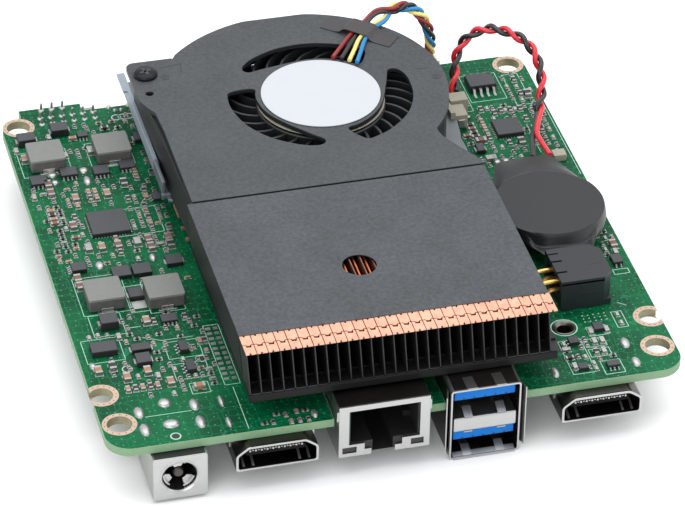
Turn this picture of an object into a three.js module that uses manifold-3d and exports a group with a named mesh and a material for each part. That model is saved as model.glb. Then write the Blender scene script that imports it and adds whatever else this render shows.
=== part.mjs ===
// Palm-size computer main board, 4 inches square, lying with its processor side up.
// Heat sink and radial blower on top, ports on the front edge, sockets underneath.
// Millimetres, +Z up. Inside the board group x runs along the port edge from the left
// corner, y from the port edge to the back, and z = 0 is the board's upper face.
import * as THREE from 'three';
import { mergeVertices } from 'three/addons/utils/BufferGeometryUtils.js';
import Module from 'manifold-3d';

const wasm = await Module();
wasm.setup();

// ---------------------------------------------------------------- driving dimensions
const BOARD = { width: 101.6, depth: 101.6, thick: 1.6, corner: 4.5 };
const TAB = { x0: 4.2, x1: 15.9, depth: 2.4 };
const UNDER = -BOARD.thick;
const GAP = 0.1; // left between pieces that rest on each other
const FOOT = -11.0; // plane the board stands on, under the tallest sockets
const REAR_PORT_FACE = 104.8;
const HOLE = { r: 2.15, xs: [3.175, 98.425], ys: [6.985, 98.425] };
const NOTCH = { r: 2.0, inset: 1.8, y: 15.4 };
const STANDOFF = { x: 84.1, y: 15.6, r: 2.0, bore: 1.25, length: 4.0 };

const JACK = { x0: 7.0, x1: 16.4, y0: -1.9, y1: 10, z0: -10.5, sheet: 0.35, bore: 3.1, pin: 1.0 };
const HDMI = { centres: [28.4, 85.75], half: 7.2, crown: 5.05, shoulder: -3.35 };
const HDMI_Z = { low: -6.65, high: UNDER - GAP };
const HDMI_Y = { front: -2.1, back: 8.6 };
const SHEET = 0.35; // connector shell thickness
const ETHERNET = { x0: 39.07, x1: 55.06, y0: -1.95, y1: 14, z0: -7.1, z1: 3.55 };
const USB = { x0: 58.64, x1: 71.05, y0: -2.0, y1: 15, z0: FOOT, z1: 3.65 };
const CUTOUT_GAP = 0.35;

const SINK = { x0: 24.7, x1: 78.7, y0: 2.5, y1: 47.0, z0: 4.0, z1: 5.5 };
const FINS = { x0: 24.0, count: 28, pitch: 1.95, sheet: 0.32, z0: 5.6, z1: 14.2, lean: 0.7 };
const COVER_TOP = 14.5;
const STRIP_DEPTH = 5.1; // bare copper in front of the cover film
const FILM_HOLE = { x: 48.8, y: 22.7, r: 2.95 };

const HUB = { x: 55.4, y: 75.7 }; // blower axis
const BLOWER = { floor: 4.4, floorTop: 5.2, wallTop: 13.4, lid: 13.5, mouth: 47.7 };
const SCROLL = { r: 23.5, growth: 0.042, from: -10, largest: 30.2 };
const INLET = { outer: 17.0, inner: 11.35 };
const ROTOR = { cup: 11.9, wall: 0.9, z0: 5.9, z1: 12.7, blades: 29, tip: 20.6, blade: 0.45 };
const SHAFT = { r: 1.0, clearance: 0.3 };

const CELL = { x: 89.9, y: 44.6, r: 10.0, z0: 2.3, z1: 5.5, wrap: 0.35 };
const POWER = { x0: 84.8, x1: 94.5, y0: 20.3, y1: 30.4, z1: 6.3 };
const MEMORY = { x0: 20, x1: 96, y0: 84, y1: 92.5, arm: 3.0, reach: 24, latch: 0.6 };
const WIRE = { fan: 0.8, lead: 1.0, sides: 8 };

// ---------------------------------------------------------------- shape helpers
const rad = THREE.MathUtils.degToRad;

function polygon(points) {
  return new THREE.Shape(points.map(([x, y]) => new THREE.Vector2(x, y)));
}

function extrude(shape, length, curveSegments = 10) {
  return new THREE.ExtrudeGeometry(shape, { depth: length, bevelEnabled: false, curveSegments });
}

// a flat outline in x and y, given height from z0 to z1
function plate(shape, z0, z1, curveSegments) {
  return extrude(shape, z1 - z0, curveSegments).translate(0, 0, z0);
}

// an outline in x and z, running back from y0 to y1
function channel(shape, y0, y1, curveSegments) {
  return extrude(shape, y1 - y0, curveSegments).rotateX(Math.PI / 2).translate(0, y1, 0);
}

function block(x0, x1, y0, y1, z0, z1) {
  const box = new THREE.BoxGeometry(x1 - x0, y1 - y0, z1 - z0);
  return box.translate((x0 + x1) / 2, (y0 + y1) / 2, (z0 + z1) / 2);
}

function rod(x, y, z0, z1, r, sides = 20) {
  const cylinder = new THREE.CylinderGeometry(r, r, z1 - z0, sides).rotateX(Math.PI / 2);
  return cylinder.translate(x, y, (z0 + z1) / 2);
}

function rodAlongY(x, z, y0, y1, r, sides = 24) {
  return new THREE.CylinderGeometry(r, r, y1 - y0, sides).translate(x, (y0 + y1) / 2, z);
}

function ring(x, y, z0, z1, inner, outer, sides = 24) {
  const shape = new THREE.Shape().absarc(0, 0, outer, 0, 2 * Math.PI);
  shape.holes.push(new THREE.Path().absarc(0, 0, inner, 0, 2 * Math.PI, true));
  return plate(shape, z0, z1, sides).translate(x, y, 0);
}

function roundHole(x, y, r) {
  return new THREE.Path().absarc(x, y, r, 0, 2 * Math.PI, true);
}

function solid(geometry) {
  const bare = geometry.clone();
  bare.deleteAttribute('normal');
  bare.deleteAttribute('uv');
  const merged = mergeVertices(bare, 1e-5);
  return new wasm.Manifold(new wasm.Mesh({
    numProp: 3,
    vertProperties: new Float32Array(merged.attributes.position.array),
    triVerts: new Uint32Array(merged.index.array),
  }));
}

function toGeometry(manifold) {
  const mesh = manifold.getMesh();
  const geometry = new THREE.BufferGeometry();
  geometry.setAttribute('position', new THREE.BufferAttribute(mesh.vertProperties, 3));
  geometry.setIndex(new THREE.BufferAttribute(mesh.triVerts, 1));
  return geometry;
}

function cut(body, ...tools) {
  return toGeometry(tools.reduce((rest, tool) => rest.subtract(solid(tool)), solid(body)));
}

function join(body, ...more) {
  return toGeometry(more.reduce((sum, piece) => sum.add(solid(piece)), solid(body)));
}

// points on a circle about (x, y), from one angle to another in degrees
function arc(x, y, r, from, to, steps) {
  return Array.from({ length: steps + 1 }, (_, i) => {
    const angle = rad(from + ((to - from) * i) / steps);
    return [x + r * Math.cos(angle), y + r * Math.sin(angle)];
  });
}

// ---------------------------------------------------------------- materials
function finish(color, roughness, metalness) {
  return new THREE.MeshStandardMaterial({ color, roughness, metalness });
}

const MATERIALS = {
  board: finish(0x14693f, 0.45, 0),
  steel: finish(0xc9c9c7, 0.3, 1),
  tray: finish(0xb9bec0, 0.4, 1),
  copper: finish(0xd9926a, 0.35, 1),
  blackMetal: finish(0x1b1c1f, 0.6, 0.2),
  lid: finish(0x54575b, 0.75, 0.1),
  blackPlastic: finish(0x17171a, 0.5, 0),
  blue: finish(0x1767d8, 0.4, 0),
  white: finish(0xf0f3f6, 0.5, 0),
  cream: finish(0xe9e2cf, 0.5, 0),
  wrap: finish(0x3b403f, 0.55, 0),
  ferrite: finish(0x8d8c89, 0.6, 0.1),
  chip: finish(0x3a3b3d, 0.6, 0),
  silicon: finish(0x6f7378, 0.2, 0.4),
  brass: finish(0xc9a25a, 0.3, 1),
  screw: finish(0x202022, 0.35, 0.8),
  red: finish(0xd22a35, 0.45, 0),
  black: finish(0x1d1d20, 0.45, 0),
  yellow: finish(0xe8d268, 0.45, 0),
  sky: finish(0x2b8fd0, 0.45, 0),
};

const board = new THREE.Group();

function part(name, geometry, material) {
  const mesh = new THREE.Mesh(geometry, MATERIALS[material].clone());
  mesh.name = name;
  board.add(mesh);
  return mesh;
}

// ---------------------------------------------------------------- circuit board
// U-shaped fixing notch in a side edge, walked in the outline's own direction
function notch(edge, side) {
  const centre = edge - side * NOTCH.inset;
  const start = side > 0 ? -90 : 90;
  return [
    [edge, NOTCH.y - side * NOTCH.r],
    ...arc(centre, NOTCH.y, NOTCH.r, start, start - 180, 10),
    [edge, NOTCH.y + side * NOTCH.r],
  ];
}

function boardOutline() {
  const { width, depth, corner } = BOARD;
  const ethernetX = [ETHERNET.x0 - CUTOUT_GAP, ETHERNET.x1 + CUTOUT_GAP];
  const usbX = [USB.x0 - CUTOUT_GAP, USB.x1 + CUTOUT_GAP];
  const slot = ([left, right], back) => [[left, 0], [left, back], [right, back], [right, 0]];
  return polygon([
    ...arc(corner, corner, corner, 180, 270, 6),
    ...slot(ethernetX, ETHERNET.y1 + CUTOUT_GAP),
    ...slot(usbX, USB.y1 + CUTOUT_GAP),
    ...arc(width - corner, corner, corner, 270, 360, 6),
    ...notch(width, 1),
    ...arc(width - corner, depth - corner, corner, 0, 90, 6),
    [TAB.x1, depth],
    [TAB.x1, depth + TAB.depth],
    [TAB.x0, depth + TAB.depth],
    [TAB.x0, depth],
    ...arc(corner, depth - corner, corner, 95, 180, 6),
    ...notch(0, -1),
  ]);
}

const SINK_SCREWS = [[29.5, 14.5], [74, 20], [51.5, 45]];
const SINK_SCREW = { r: 1.2, hole: 1.5, head: 2.6, headHeight: 1.7 };

function makeBoard() {
  const outline = boardOutline();
  const corners = HOLE.xs.flatMap((x) => HOLE.ys.map((y) => [x, y]));
  corners.forEach(([x, y]) => outline.holes.push(roundHole(x, y, HOLE.r)));
  SINK_SCREWS.forEach(([x, y]) => outline.holes.push(roundHole(x, y, SINK_SCREW.hole)));
  outline.holes.push(roundHole(STANDOFF.x, STANDOFF.y, STANDOFF.r + 0.1));
  part('circuit_board', plate(outline, UNDER, 0, 10), 'board');
}

function makeStandoff() {
  const { x, y, r, bore, length } = STANDOFF;
  const collar = ring(x, y, UNDER - length, UNDER - GAP, bore, r + 0.9, 10);
  const neck = ring(x, y, UNDER - length / 2, 0, bore, r, 10);
  part('card_standoff', join(collar, neck), 'steel');
}

// ---------------------------------------------------------------- power input jack
function makeJack() {
  const { x0, x1, y0, y1, z0, sheet, bore, pin } = JACK;
  const top = UNDER - GAP;
  const centreX = (x0 + x1) / 2 - 0.1;
  const centreZ = z0 + 4.55;
  const wrap = polygon([
    [x0, y0], [x1, y0], [x1, y1], [x1 - sheet, y1], [x1 - sheet, y0 + sheet],
    [x0 + sheet, y0 + sheet], [x0 + sheet, y1], [x0, y1],
  ]);
  const mouth = rodAlongY(centreX, centreZ, y0 - 1, y0 + 1, bore + 0.15);
  part('dc_jack_shell', cut(plate(wrap, z0, top), mouth), 'steel');
  const inner = sheet + GAP;
  const body = block(x0 + inner, x1 - inner, y0 + inner, y1, z0, top);
  const cavity = rodAlongY(centreX, centreZ, y0, y1 - 1.6, bore);
  part('dc_jack_insert', cut(body, cavity), 'blackPlastic');
  part('dc_jack_pin', rodAlongY(centreX, centreZ, y0 + 0.9, y1 - 1.8, pin, 16), 'steel');
}

// ---------------------------------------------------------------- display ports
// shell outline, widest at the bottom, moved inwards by inset
function hdmiOutline(inset) {
  const half = HDMI.half - inset;
  const crown = HDMI.crown - inset * 0.5;
  const shoulder = HDMI.shoulder - inset * 0.4;
  return [
    [-half, HDMI_Z.low + inset], [half, HDMI_Z.low + inset], [half, shoulder],
    [crown, HDMI_Z.high - inset], [-crown, HDMI_Z.high - inset], [-half, shoulder],
  ];
}

function makeHdmi(name, centre) {
  const shell = polygon(hdmiOutline(0));
  shell.holes.push(new THREE.Path(polygon(hdmiOutline(SHEET)).getPoints().reverse()));
  const tube = channel(shell, HDMI_Y.front, HDMI_Y.back);
  part(`${name}_shell`, tube.translate(centre, 0, 0), 'steel');
  const base = channel(polygon(hdmiOutline(SHEET + GAP)), HDMI_Y.back - 3.2, HDMI_Y.back - GAP);
  const tongue = block(-5.0, 5.0, HDMI_Y.front + 1.0, HDMI_Y.back - 3.0, -4.45, -3.15);
  part(`${name}_tongue`, join(base, tongue).translate(centre, 0, 0), 'blackPlastic');
}

// ---------------------------------------------------------------- network socket
function makeEthernet() {
  const { x0, x1, y0, y1, z0, z1 } = ETHERNET;
  const back = y1 - 1.0;
  const opening = [40.9, 53.3, -4.6, 2.5];
  const keyway = [44.9, 49.1];
  const keywayDepth = y0 + 9;
  const shell = block(x0, x1, y0, y1, z0, z1);
  const room = block(x0 + SHEET, x1 - SHEET, y0 + SHEET, y1 + 1, z0 + SHEET, z1 - SHEET);
  const window = block(opening[0], opening[1], y0 - 1, y0 + 1, opening[2], opening[3]);
  const step = block(keyway[0] - 1.2, keyway[1] + 1.2, y0 - 1, y0 + 1, -5.9, -4);
  const slot = block(keyway[0], keyway[1], y0 - 1, keywayDepth, z0 - 1, -4);
  part('ethernet_shield', cut(shell, room, window, step, slot), 'steel');
  const inset = SHEET + GAP;
  const body = block(x0 + inset, x1 - inset, y0 + inset, y1, z0 + inset, z1 - inset);
  const cavity = block(41.2, 53.0, y0 - 1, back - 1.5, -4.4, 2.3);
  const key = block(keyway[0] + 0.2, keyway[1] - 0.2, y0 - 1, keywayDepth, z0 - 1, -4);
  part('ethernet_insert', cut(body, cavity, key), 'blackPlastic');
}

// ---------------------------------------------------------------- stacked USB ports
function makeUsbStack() {
  const { x0, x1, y0, y1, z0, z1 } = USB;
  const shell = cut(
    block(x0, x1, y0, y1, z0, z1),
    block(x0 + SHEET, x1 - SHEET, y0 - 1, y1 - SHEET, z0 + SHEET, z1 - SHEET),
  );
  // spring flaps flared outwards along both sides of the mouth
  const flap = (x, out) => plate(polygon([
    [x, 1.2], [x + out * 0.95, -2.3], [x + out * 0.65, -2.3], [x - out * 0.3, 1.0],
  ]), z0 + 1.4, z1 - 1.9);
  const flared = join(shell, flap(x0, -1), flap(x1, 1));
  part('usb_stack_shell', flared, 'steel');
  const inner = SHEET + GAP;
  const left = x0 + inner + 0.1;
  const right = x1 - inner - 0.1;
  part('usb_divider', block(left, right, y0 + 0.2, y1 - 2.6, -5.4, -2.45), 'steel');
  const port = (low, high) => join(
    block(left, right, y1 - 2.4, y1 - inner, low - 2.4, Math.min(high + 0.7, z1 - inner)),
    block(left + 0.5, right - 0.5, y0 + 0.9, y1 - 2.2, low, high),
  );
  part('usb_upper_tongue', port(0.9, 2.85), 'blue');
  part('usb_lower_tongue', port(-7.5, -5.55), 'blue');
}

// ---------------------------------------------------------------- rear edge USB port
function makeRearUsb() {
  const x0 = 5.7;
  const x1 = 18.9;
  const y0 = 88.2;
  const z1 = UNDER - GAP;
  const z0 = z1 - 5.9;
  const shell = cut(
    block(x0, x1, y0, REAR_PORT_FACE, z0, z1),
    block(x0 + SHEET, x1 - SHEET, y0 + SHEET, REAR_PORT_FACE + 1, z0 + SHEET, z1 - SHEET),
  );
  part('rear_usb_shell', shell, 'steel');
  const inner = SHEET + GAP;
  const base = block(x0 + inner, x1 - inner, y0 + inner, y0 + 3, z0 + inner, z1 - inner);
  const tongue = block(x0 + 1, x1 - 1, y0 + 2.8, REAR_PORT_FACE - 1, z1 - 2.7, z1 - 0.9);
  part('rear_usb_tongue', join(base, tongue), 'blue');
}

// ---------------------------------------------------------------- processor and heat sink
function makeProcessor() {
  part('processor_package', block(34.5, 65.5, 19, 43, GAP, 1.1), 'board');
  part('processor_die', block(43.5, 57.5, 26.5, 36, 1.2, 2.0), 'silicon');
  part('heat_sink_pedestal', block(38, 63, 21.5, 42, 2.1, SINK.z0 - GAP), 'copper');
}

function makeSinkBase() {
  const { x0, x1, y0, y1, z0, z1 } = SINK;
  const outline = polygon([[x0, y0], [x1, y0], [x1, y1], [x0, y1]]);
  SINK_SCREWS.forEach(([x, y]) => outline.holes.push(roundHole(x, y, SINK_SCREW.r + 0.15)));
  part('heat_sink_base', plate(outline, z0, z1, 8), 'blackMetal');
  SINK_SCREWS.forEach(([x, y], i) => {
    const head = rod(x, y, UNDER - GAP - SINK_SCREW.headHeight, UNDER - GAP, SINK_SCREW.head, 16);
    const shank = rod(x, y, UNDER - GAP - 0.5, z1 - 0.2, SINK_SCREW.r, 12);
    part(`heat_sink_screw_${i + 1}`, join(head, shank), 'steel');
  });
}

// folded fins: every channel is closed by the flanges that reach to the next fin
function makeFins() {
  const { x0, count, pitch, sheet, z0, z1, lean } = FINS;
  const shift = (z) => (lean * (z1 - z)) / (z1 - z0);
  const corner = (x, z) => [x + shift(z), z];
  const end = x0 + (count - 1) * pitch + sheet;
  const outline = polygon([
    corner(x0, z0), corner(end + 1.2, z0), corner(end + 1.2, z0 + sheet), corner(end, z0 + sheet),
    corner(end, z1 - sheet), corner(end + 1.2, z1 - sheet), corner(end + 1.2, z1), corner(x0, z1),
  ]);
  const channels = Array.from({ length: count - 1 }, (_, i) => {
    const left = x0 + i * pitch + sheet;
    const right = x0 + (i + 1) * pitch;
    return channel(polygon([
      corner(left, z0 + sheet), corner(right, z0 + sheet),
      corner(right, z1 - sheet), corner(left, z1 - sheet),
    ]), SINK.y0 - 1, SINK.y1 + 1);
  });
  part('fin_stack', cut(channel(outline, SINK.y0 + 0.1, SINK.y1 - 0.4), ...channels), 'copper');
  const y0 = SINK.y0 + 0.1 + STRIP_DEPTH;
  const film = polygon([[x0, y0], [end + 1.2, y0], [end + 1.2, SINK.y1], [x0, SINK.y1]]);
  film.holes.push(roundHole(FILM_HOLE.x, FILM_HOLE.y, FILM_HOLE.r));
  part('fin_cover', plate(film, z1 + GAP, COVER_TOP, 16), 'lid');
}

// ---------------------------------------------------------------- blower
function scrollRadius(angle) {
  const grown = SCROLL.r + SCROLL.growth * Math.max(0, angle - SCROLL.from);
  return Math.min(grown, SCROLL.largest);
}

// the scroll from one angle to another, moved inwards by inset
function scroll(from, to, steps, inset = 0) {
  return Array.from({ length: steps + 1 }, (_, i) => {
    const angle = from + ((to - from) * i) / steps;
    const r = scrollRadius(angle) - inset;
    return [HUB.x + r * Math.cos(rad(angle)), HUB.y + r * Math.sin(rad(angle))];
  });
}

function polar(r, angle) {
  return [HUB.x + r * Math.cos(rad(angle)), HUB.y + r * Math.sin(rad(angle))];
}

// three inlet openings, each a bent slot between the rim and the motor mount
const INLETS = [
  { outer: [50, 138], tips: [[15.2, 141], [12.4, 120]], inner: [112, 52] },
  { outer: [170, 257], tips: [[15.4, 261], [12.4, 254]], inner: [249, 160] },
  { outer: [-70, 17], tips: [[15.4, 20.5], [13.4, 12]], inner: [-11, -74] },
];

function inletHole({ outer, tips, inner }) {
  const points = [
    ...arc(HUB.x, HUB.y, INLET.outer, outer[0], outer[1], 10),
    ...tips.map(([r, angle]) => polar(r, angle)),
    ...arc(HUB.x, HUB.y, INLET.inner, inner[0], inner[1], 8),
  ];
  return new THREE.Path(points.reverse().map(([x, y]) => new THREE.Vector2(x, y)));
}

const LID = { left: 25.0, right: 78.3, ear: 22.6, earBack: 93.6, ring: 1.6 };
const TRAY_LIP = { x0: 23.7, x1: 24.5, top: 7.5 };
const EAR_SCREW = { x: 25.5, y: 88.9, r: 1.1, head: 2.2 };

function makeLid() {
  const { left, right, ear, earBack, ring: round } = LID;
  const outline = polygon([
    [left, BLOWER.mouth], [right, BLOWER.mouth], [right, 48.6], [74.8, 54.8], [73.5, 57.3],
    ...scroll(-43, 141, 26),
    [31.4, earBack],
    ...arc(ear + round, earBack - round, round, 90, 180, 5),
    [ear, 70], [left, 76],
  ]);
  INLETS.forEach((inlet) => outline.holes.push(inletHole(inlet)));
  outline.holes.push(roundHole(EAR_SCREW.x, EAR_SCREW.y, EAR_SCREW.r + 0.2));
  const lid = plate(outline, BLOWER.lid, COVER_TOP, 10);
  part('blower_cover', lid, 'lid');
}

function makeHousing() {
  const left = LID.left + 0.3;
  const thick = 1.2;
  const wall = polygon([
    [left, BLOWER.mouth + 0.2], [left + thick, BLOWER.mouth + 0.2],
    ...scroll(166, -43, 30, 0.3 + thick),
    [73.9 - thick, 57.0], [75.1 - thick, 54.4], [77.9 - thick, 49.4],
    [77.9 - thick, BLOWER.mouth + 0.2], [77.9, BLOWER.mouth + 0.2], [77.9, 49.6],
    [74.9, 54.9], [73.8, 57.3],
    ...scroll(-42, 170, 30, 0.3),
  ]);
  const floor = BLOWER.floorTop + GAP;
  const { x, y, r } = EAR_SCREW;
  const post = rod(x, y, floor, BLOWER.wallTop, 2.0, 12);
  const web = block(x, 32.5, y - 0.5, y + 0.5, floor, BLOWER.wallTop);
  const shell = join(plate(wall, floor, BLOWER.wallTop), post, web);
  const beyondLip = block(x - 4, TRAY_LIP.x1 + 0.3, y - 4, y + 4, 0, COVER_TOP);
  const bore = rod(x, y, 8, COVER_TOP, r + 0.15, 12);
  part('blower_housing', cut(shell, bore, beyondLip), 'blackPlastic');
}

function makeTray() {
  const floor = polygon([
    [24.6, BLOWER.mouth], [79.0, BLOWER.mouth], [79.6, 57], [81.4, 66],
    ...arc(HUB.x, HUB.y, 27.4, -16, 92, 16),
    [38, 103.0], [TRAY_LIP.x0, 103.0], [TRAY_LIP.x0, 62],
  ]);
  const lip = block(TRAY_LIP.x0, TRAY_LIP.x1, 70.5, 99, BLOWER.floor, TRAY_LIP.top);
  part('blower_tray', join(plate(floor, BLOWER.floor, BLOWER.floorTop), lip), 'tray');
}

function makeEarScrew() {
  const { x, y, r, head } = EAR_SCREW;
  const top = COVER_TOP + 1.3;
  const shape = join(rod(x, y, COVER_TOP + GAP, top, head, 20), rod(x, y, 8.5, COVER_TOP + 0.3, r, 12));
  const cross = [block(x - 1.4, x + 1.4, y - 0.3, y + 0.3, top - 0.7, top + 1),
    block(x - 0.3, x + 0.3, y - 1.4, y + 1.4, top - 0.7, top + 1)];
  const turned = cross.map((g) => g.translate(-x, -y, 0).rotateZ(rad(20)).translate(x, y, 0));
  part('ear_screw', toGeometry(turned.reduce((s, t) => s.subtract(solid(t)), solid(shape))), 'screw');
}

// cup with swept blades, open upwards round the motor
function makeImpeller() {
  const { cup, wall, z0, z1, blades, tip, blade } = ROTOR;
  const profile = [[0, z0], [cup, z0], [cup, z1], [cup - wall, z1], [cup - wall, z0 + 0.9],
    [0, z0 + 0.9], [0, z0]].map(([x, z]) => new THREE.Vector2(x, z));
  const hub = new THREE.LatheGeometry(profile, 36).rotateX(Math.PI / 2);
  let rotor = solid(hub);
  const steps = 3;
  const sweep = (t) => -26 * t * t - 8 * t;
  for (let i = 0; i < blades; i += 1) {
    const start = (360 / blades) * i;
    const side = (offset) => Array.from({ length: steps + 1 }, (_, k) => {
      const t = k / steps;
      const r = cup - 0.4 + (tip - cup + 0.4) * t;
      const angle = rad(start + sweep(t)) + offset / r;
      return [r * Math.cos(angle), r * Math.sin(angle)];
    });
    const outline = [...side(-blade / 2), ...side(blade / 2).reverse()];
    rotor = rotor.add(solid(plate(polygon(outline), z0 + 0.3, z1 - 0.4)));
  }
  part('impeller', toGeometry(rotor).translate(HUB.x, HUB.y, 0), 'blackPlastic');
}

function makeMotor() {
  const floor = ROTOR.z0 + 0.9;
  part('motor_shaft', rod(HUB.x, HUB.y, floor + GAP, 12.6, SHAFT.r, 14), 'steel');
  const bore = SHAFT.r + SHAFT.clearance;
  part('bearing_sleeve', ring(HUB.x, HUB.y, floor + 0.4, BLOWER.lid - GAP, bore, 2.4, 16), 'brass');
  const poles = 9;
  const outline = Array.from({ length: poles }, (_, i) => {
    const centre = (360 / poles) * i;
    const at = (r, turn) => {
      const angle = rad(centre + turn);
      return [HUB.x + r * Math.cos(angle), HUB.y + r * Math.sin(angle)];
    };
    return [at(4.2, -18), at(8.0, -8), at(8.0, -16), at(9.2, -15), at(9.2, 15), at(8.0, 16), at(8.0, 8)];
  }).flat();
  const star = polygon(outline);
  star.holes.push(roundHole(HUB.x, HUB.y, 2.6));
  part('stator', plate(star, 8.0, 11.6, 10), 'copper');
  part('hub_label', rod(HUB.x, HUB.y, COVER_TOP + GAP, COVER_TOP + 0.3, 10.95, 40), 'white');
}

// tape strip stuck across the fan wires, humped where it passes over them
function makeTape() {
  const low = COVER_TOP + GAP;
  const high = 15.75;
  const thick = 0.15;
  const profile = polygon([
    [-7.2, low], [-3.6, low], [-2.4, high], [2.4, high], [3.6, low], [7.2, low],
    [7.2, low + thick], [3.7, low + thick], [2.5, high + thick], [-2.5, high + thick],
    [-3.7, low + thick], [-7.2, low + thick],
  ]);
  const strip = channel(profile, -2.15, 2.15).rotateZ(rad(-41)).translate(67.6, 94.2, 0);
  part('cable_tape', strip, 'blackPlastic');
}

// ---------------------------------------------------------------- wires
function wire(name, points, diameter, material) {
  const curve = new THREE.CatmullRomCurve3(points.map((p) => new THREE.Vector3(...p)));
  const section = new THREE.Shape(arc(0, 0, diameter / 2, 0, 360, WIRE.sides)
    .slice(0, -1).map(([x, y]) => new THREE.Vector2(x, y)));
  const steps = Math.round(curve.getLength() / (2.2 * diameter));
  const tube = new THREE.ExtrudeGeometry(section, { steps, extrudePath: curve });
  part(name, tube, material);
}

// each pair leaves the tape together and runs over the blower's edge down to the plug
const UPPER_PAIR = [
  [68.9, 95.9, 15.2], [71.9, 97.6, 16.4], [74.7, 97.9, 17.5], [77.2, 97.7, 17.8],
  [79.3, 97.0, 17.0], [81.0, 96.7, 15.0], [82.3, 96.8, 12.0], [82.9, 97.0, 9.0],
  [82.9, 97.1, 7.0], [82.7, 97.1, 5.4],
];
const LOWER_PAIR = [
  [70.3, 94.6, 15.1], [73.0, 96.2, 15.4], [75.2, 96.7, 16.1], [77.3, 96.6, 16.2],
  [79.0, 96.3, 15.3], [80.2, 96.3, 13.5], [81.2, 96.6, 11.0], [81.7, 96.9, 8.6],
  [81.7, 97.1, 7.0], [81.5, 97.1, 5.4],
];
const PAIR_SIDE = 0.6; // half the spacing inside a pair

const FAN_WIRES = [
  { name: 'fan_wire_red', material: 'red', pair: UPPER_PAIR, side: 1, hub: [60.4, 86.2], tape: [65.2, 92.6] },
  { name: 'fan_wire_black', material: 'black', pair: UPPER_PAIR, side: -1, hub: [61.8, 85.4], tape: [66.1, 92.0] },
  { name: 'fan_wire_yellow', material: 'yellow', pair: LOWER_PAIR, side: 1, hub: [63.1, 84.5], tape: [66.9, 91.4] },
  { name: 'fan_wire_blue', material: 'sky', pair: LOWER_PAIR, side: -1, hub: [64.3, 83.5], tape: [67.8, 90.8] },
];
const WIRE_LEVEL = 15.05;

function makeFanWires() {
  FAN_WIRES.forEach(({ name, material, pair, side, hub, tape }) => {
    const middle = [(hub[0] + tape[0]) / 2, (hub[1] + tape[1]) / 2];
    const flat = [hub, middle, tape].map(([x, y]) => [x, y, WIRE_LEVEL]);
    const rest = pair.map(([x, y, z]) => [x, y + side * PAIR_SIDE, z]);
    wire(name, [...flat, ...rest], WIRE.fan, material);
  });
  part('fan_plug', block(80.4, 83.8, 95.2, 99.0, 2.4, 5.1), 'white');
  part('fan_header', block(80.0, 84.2, 94.8, 99.4, GAP, 2.2), 'cream');
}

const LEAD_ROUTE = [
  [84.4, 87.2, 3.2], [84.9, 89.0, 5.0], [85.4, 90.6, 7.0], [86.1, 91.5, 9.0], [87.4, 91.9, 11.2],
  [89.3, 91.2, 13.2], [91.4, 89.8, 14.6], [93.3, 87.9, 15.2], [95.4, 86.1, 15.0],
  [97.3, 84.4, 14.0], [98.5, 82.6, 12.4], [99.0, 80.9, 10.4], [99.0, 79.4, 8.4],
  [98.5, 77.6, 6.5], [97.4, 75.0, 5.0], [96.2, 72.2, 4.2],
];
const LEAD_SPACING = 1.35;
const LEAD_TURN = new THREE.Vector3(-0.3, -0.5, 0.8); // never in line with the route
const RED_END = [[95.9, 69.2, 3.9], [95.6, 65.8, 3.8], [95.5, 61.9, 3.9]];
const BLACK_END = [[94.5, 69.6, 3.8], [93.4, 65.8, 3.7], [92.2, 61.9, 3.9]];

function makeBatteryLeads() {
  const route = LEAD_ROUTE.map((p) => new THREE.Vector3(...p));
  const beside = (side) => route.map((point, i) => {
    const next = route[Math.min(i + 1, route.length - 1)];
    const along = next.clone().sub(route[Math.max(i - 1, 0)]);
    const across = along.cross(LEAD_TURN).setLength((side * LEAD_SPACING) / 2);
    return point.clone().add(across).toArray();
  });
  wire('battery_lead_red', [...beside(-1), ...RED_END], WIRE.lead, 'red');
  wire('battery_lead_black', [...beside(1), ...BLACK_END], WIRE.lead, 'black');
  part('battery_plug', block(82.7, 86.1, 83.5, 86.3, 0.9, 3.6), 'white');
  part('battery_header', block(82.4, 86.4, 79.2, 83.3, GAP, 3.8), 'cream');
}

// ---------------------------------------------------------------- coin cell
function makeCell() {
  const { x, y, r, z0, z1, wrap } = CELL;
  part('coin_cell', rod(x, y, z0, z1, r, 40), 'steel');
  // shrink sleeve: round over the cell, pinched flat behind it and in front of it
  const outer = r + wrap + GAP;
  const outline = polygon([
    ...arc(x, y, outer, -52, 128 - 76, 14),
    [x + 5.6, y + 16.2],
    [x - 4.6, y + 15.8],
    ...arc(x, y, outer, 122, 236, 14),
    [x - 4.4, y - 11.6],
    [x + 4.4, y - 11.6],
  ]);
  const body = plate(outline, z0 - wrap - GAP, z1 + wrap + GAP);
  const room = rod(x, y, z0 - GAP, z1 + GAP, r + GAP, 40);
  const vent = block(x - 4, x + 4, y - 12.5, y, z0 + 1.0, z1 - 1.0);
  const flatTail = block(x - 12, x + 12, y + 12.5, y + 20, z1 - 0.6, z1 + 2);
  part('battery_sleeve', cut(body, room, vent, flatTail), 'wrap');
}

// ---------------------------------------------------------------- board-level parts
const COILS = [[5.95, 86.0], [18.3, 86.0], [7.7, 41.7], [18.1, 40.2]];
const COIL = { width: 6.5, depth: 6.4, height: 2.8 };

function chamferedBlock(x, y, width, depth, z0, z1, chamfer) {
  const [a, b] = [width / 2, depth / 2];
  const c = chamfer;
  const outline = polygon([
    [-a + c, -b], [a - c, -b], [a, -b + c], [a, b - c],
    [a - c, b], [-a + c, b], [-a, b - c], [-a, -b + c],
  ]);
  return plate(outline, z0, z1).translate(x, y, 0);
}

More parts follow.
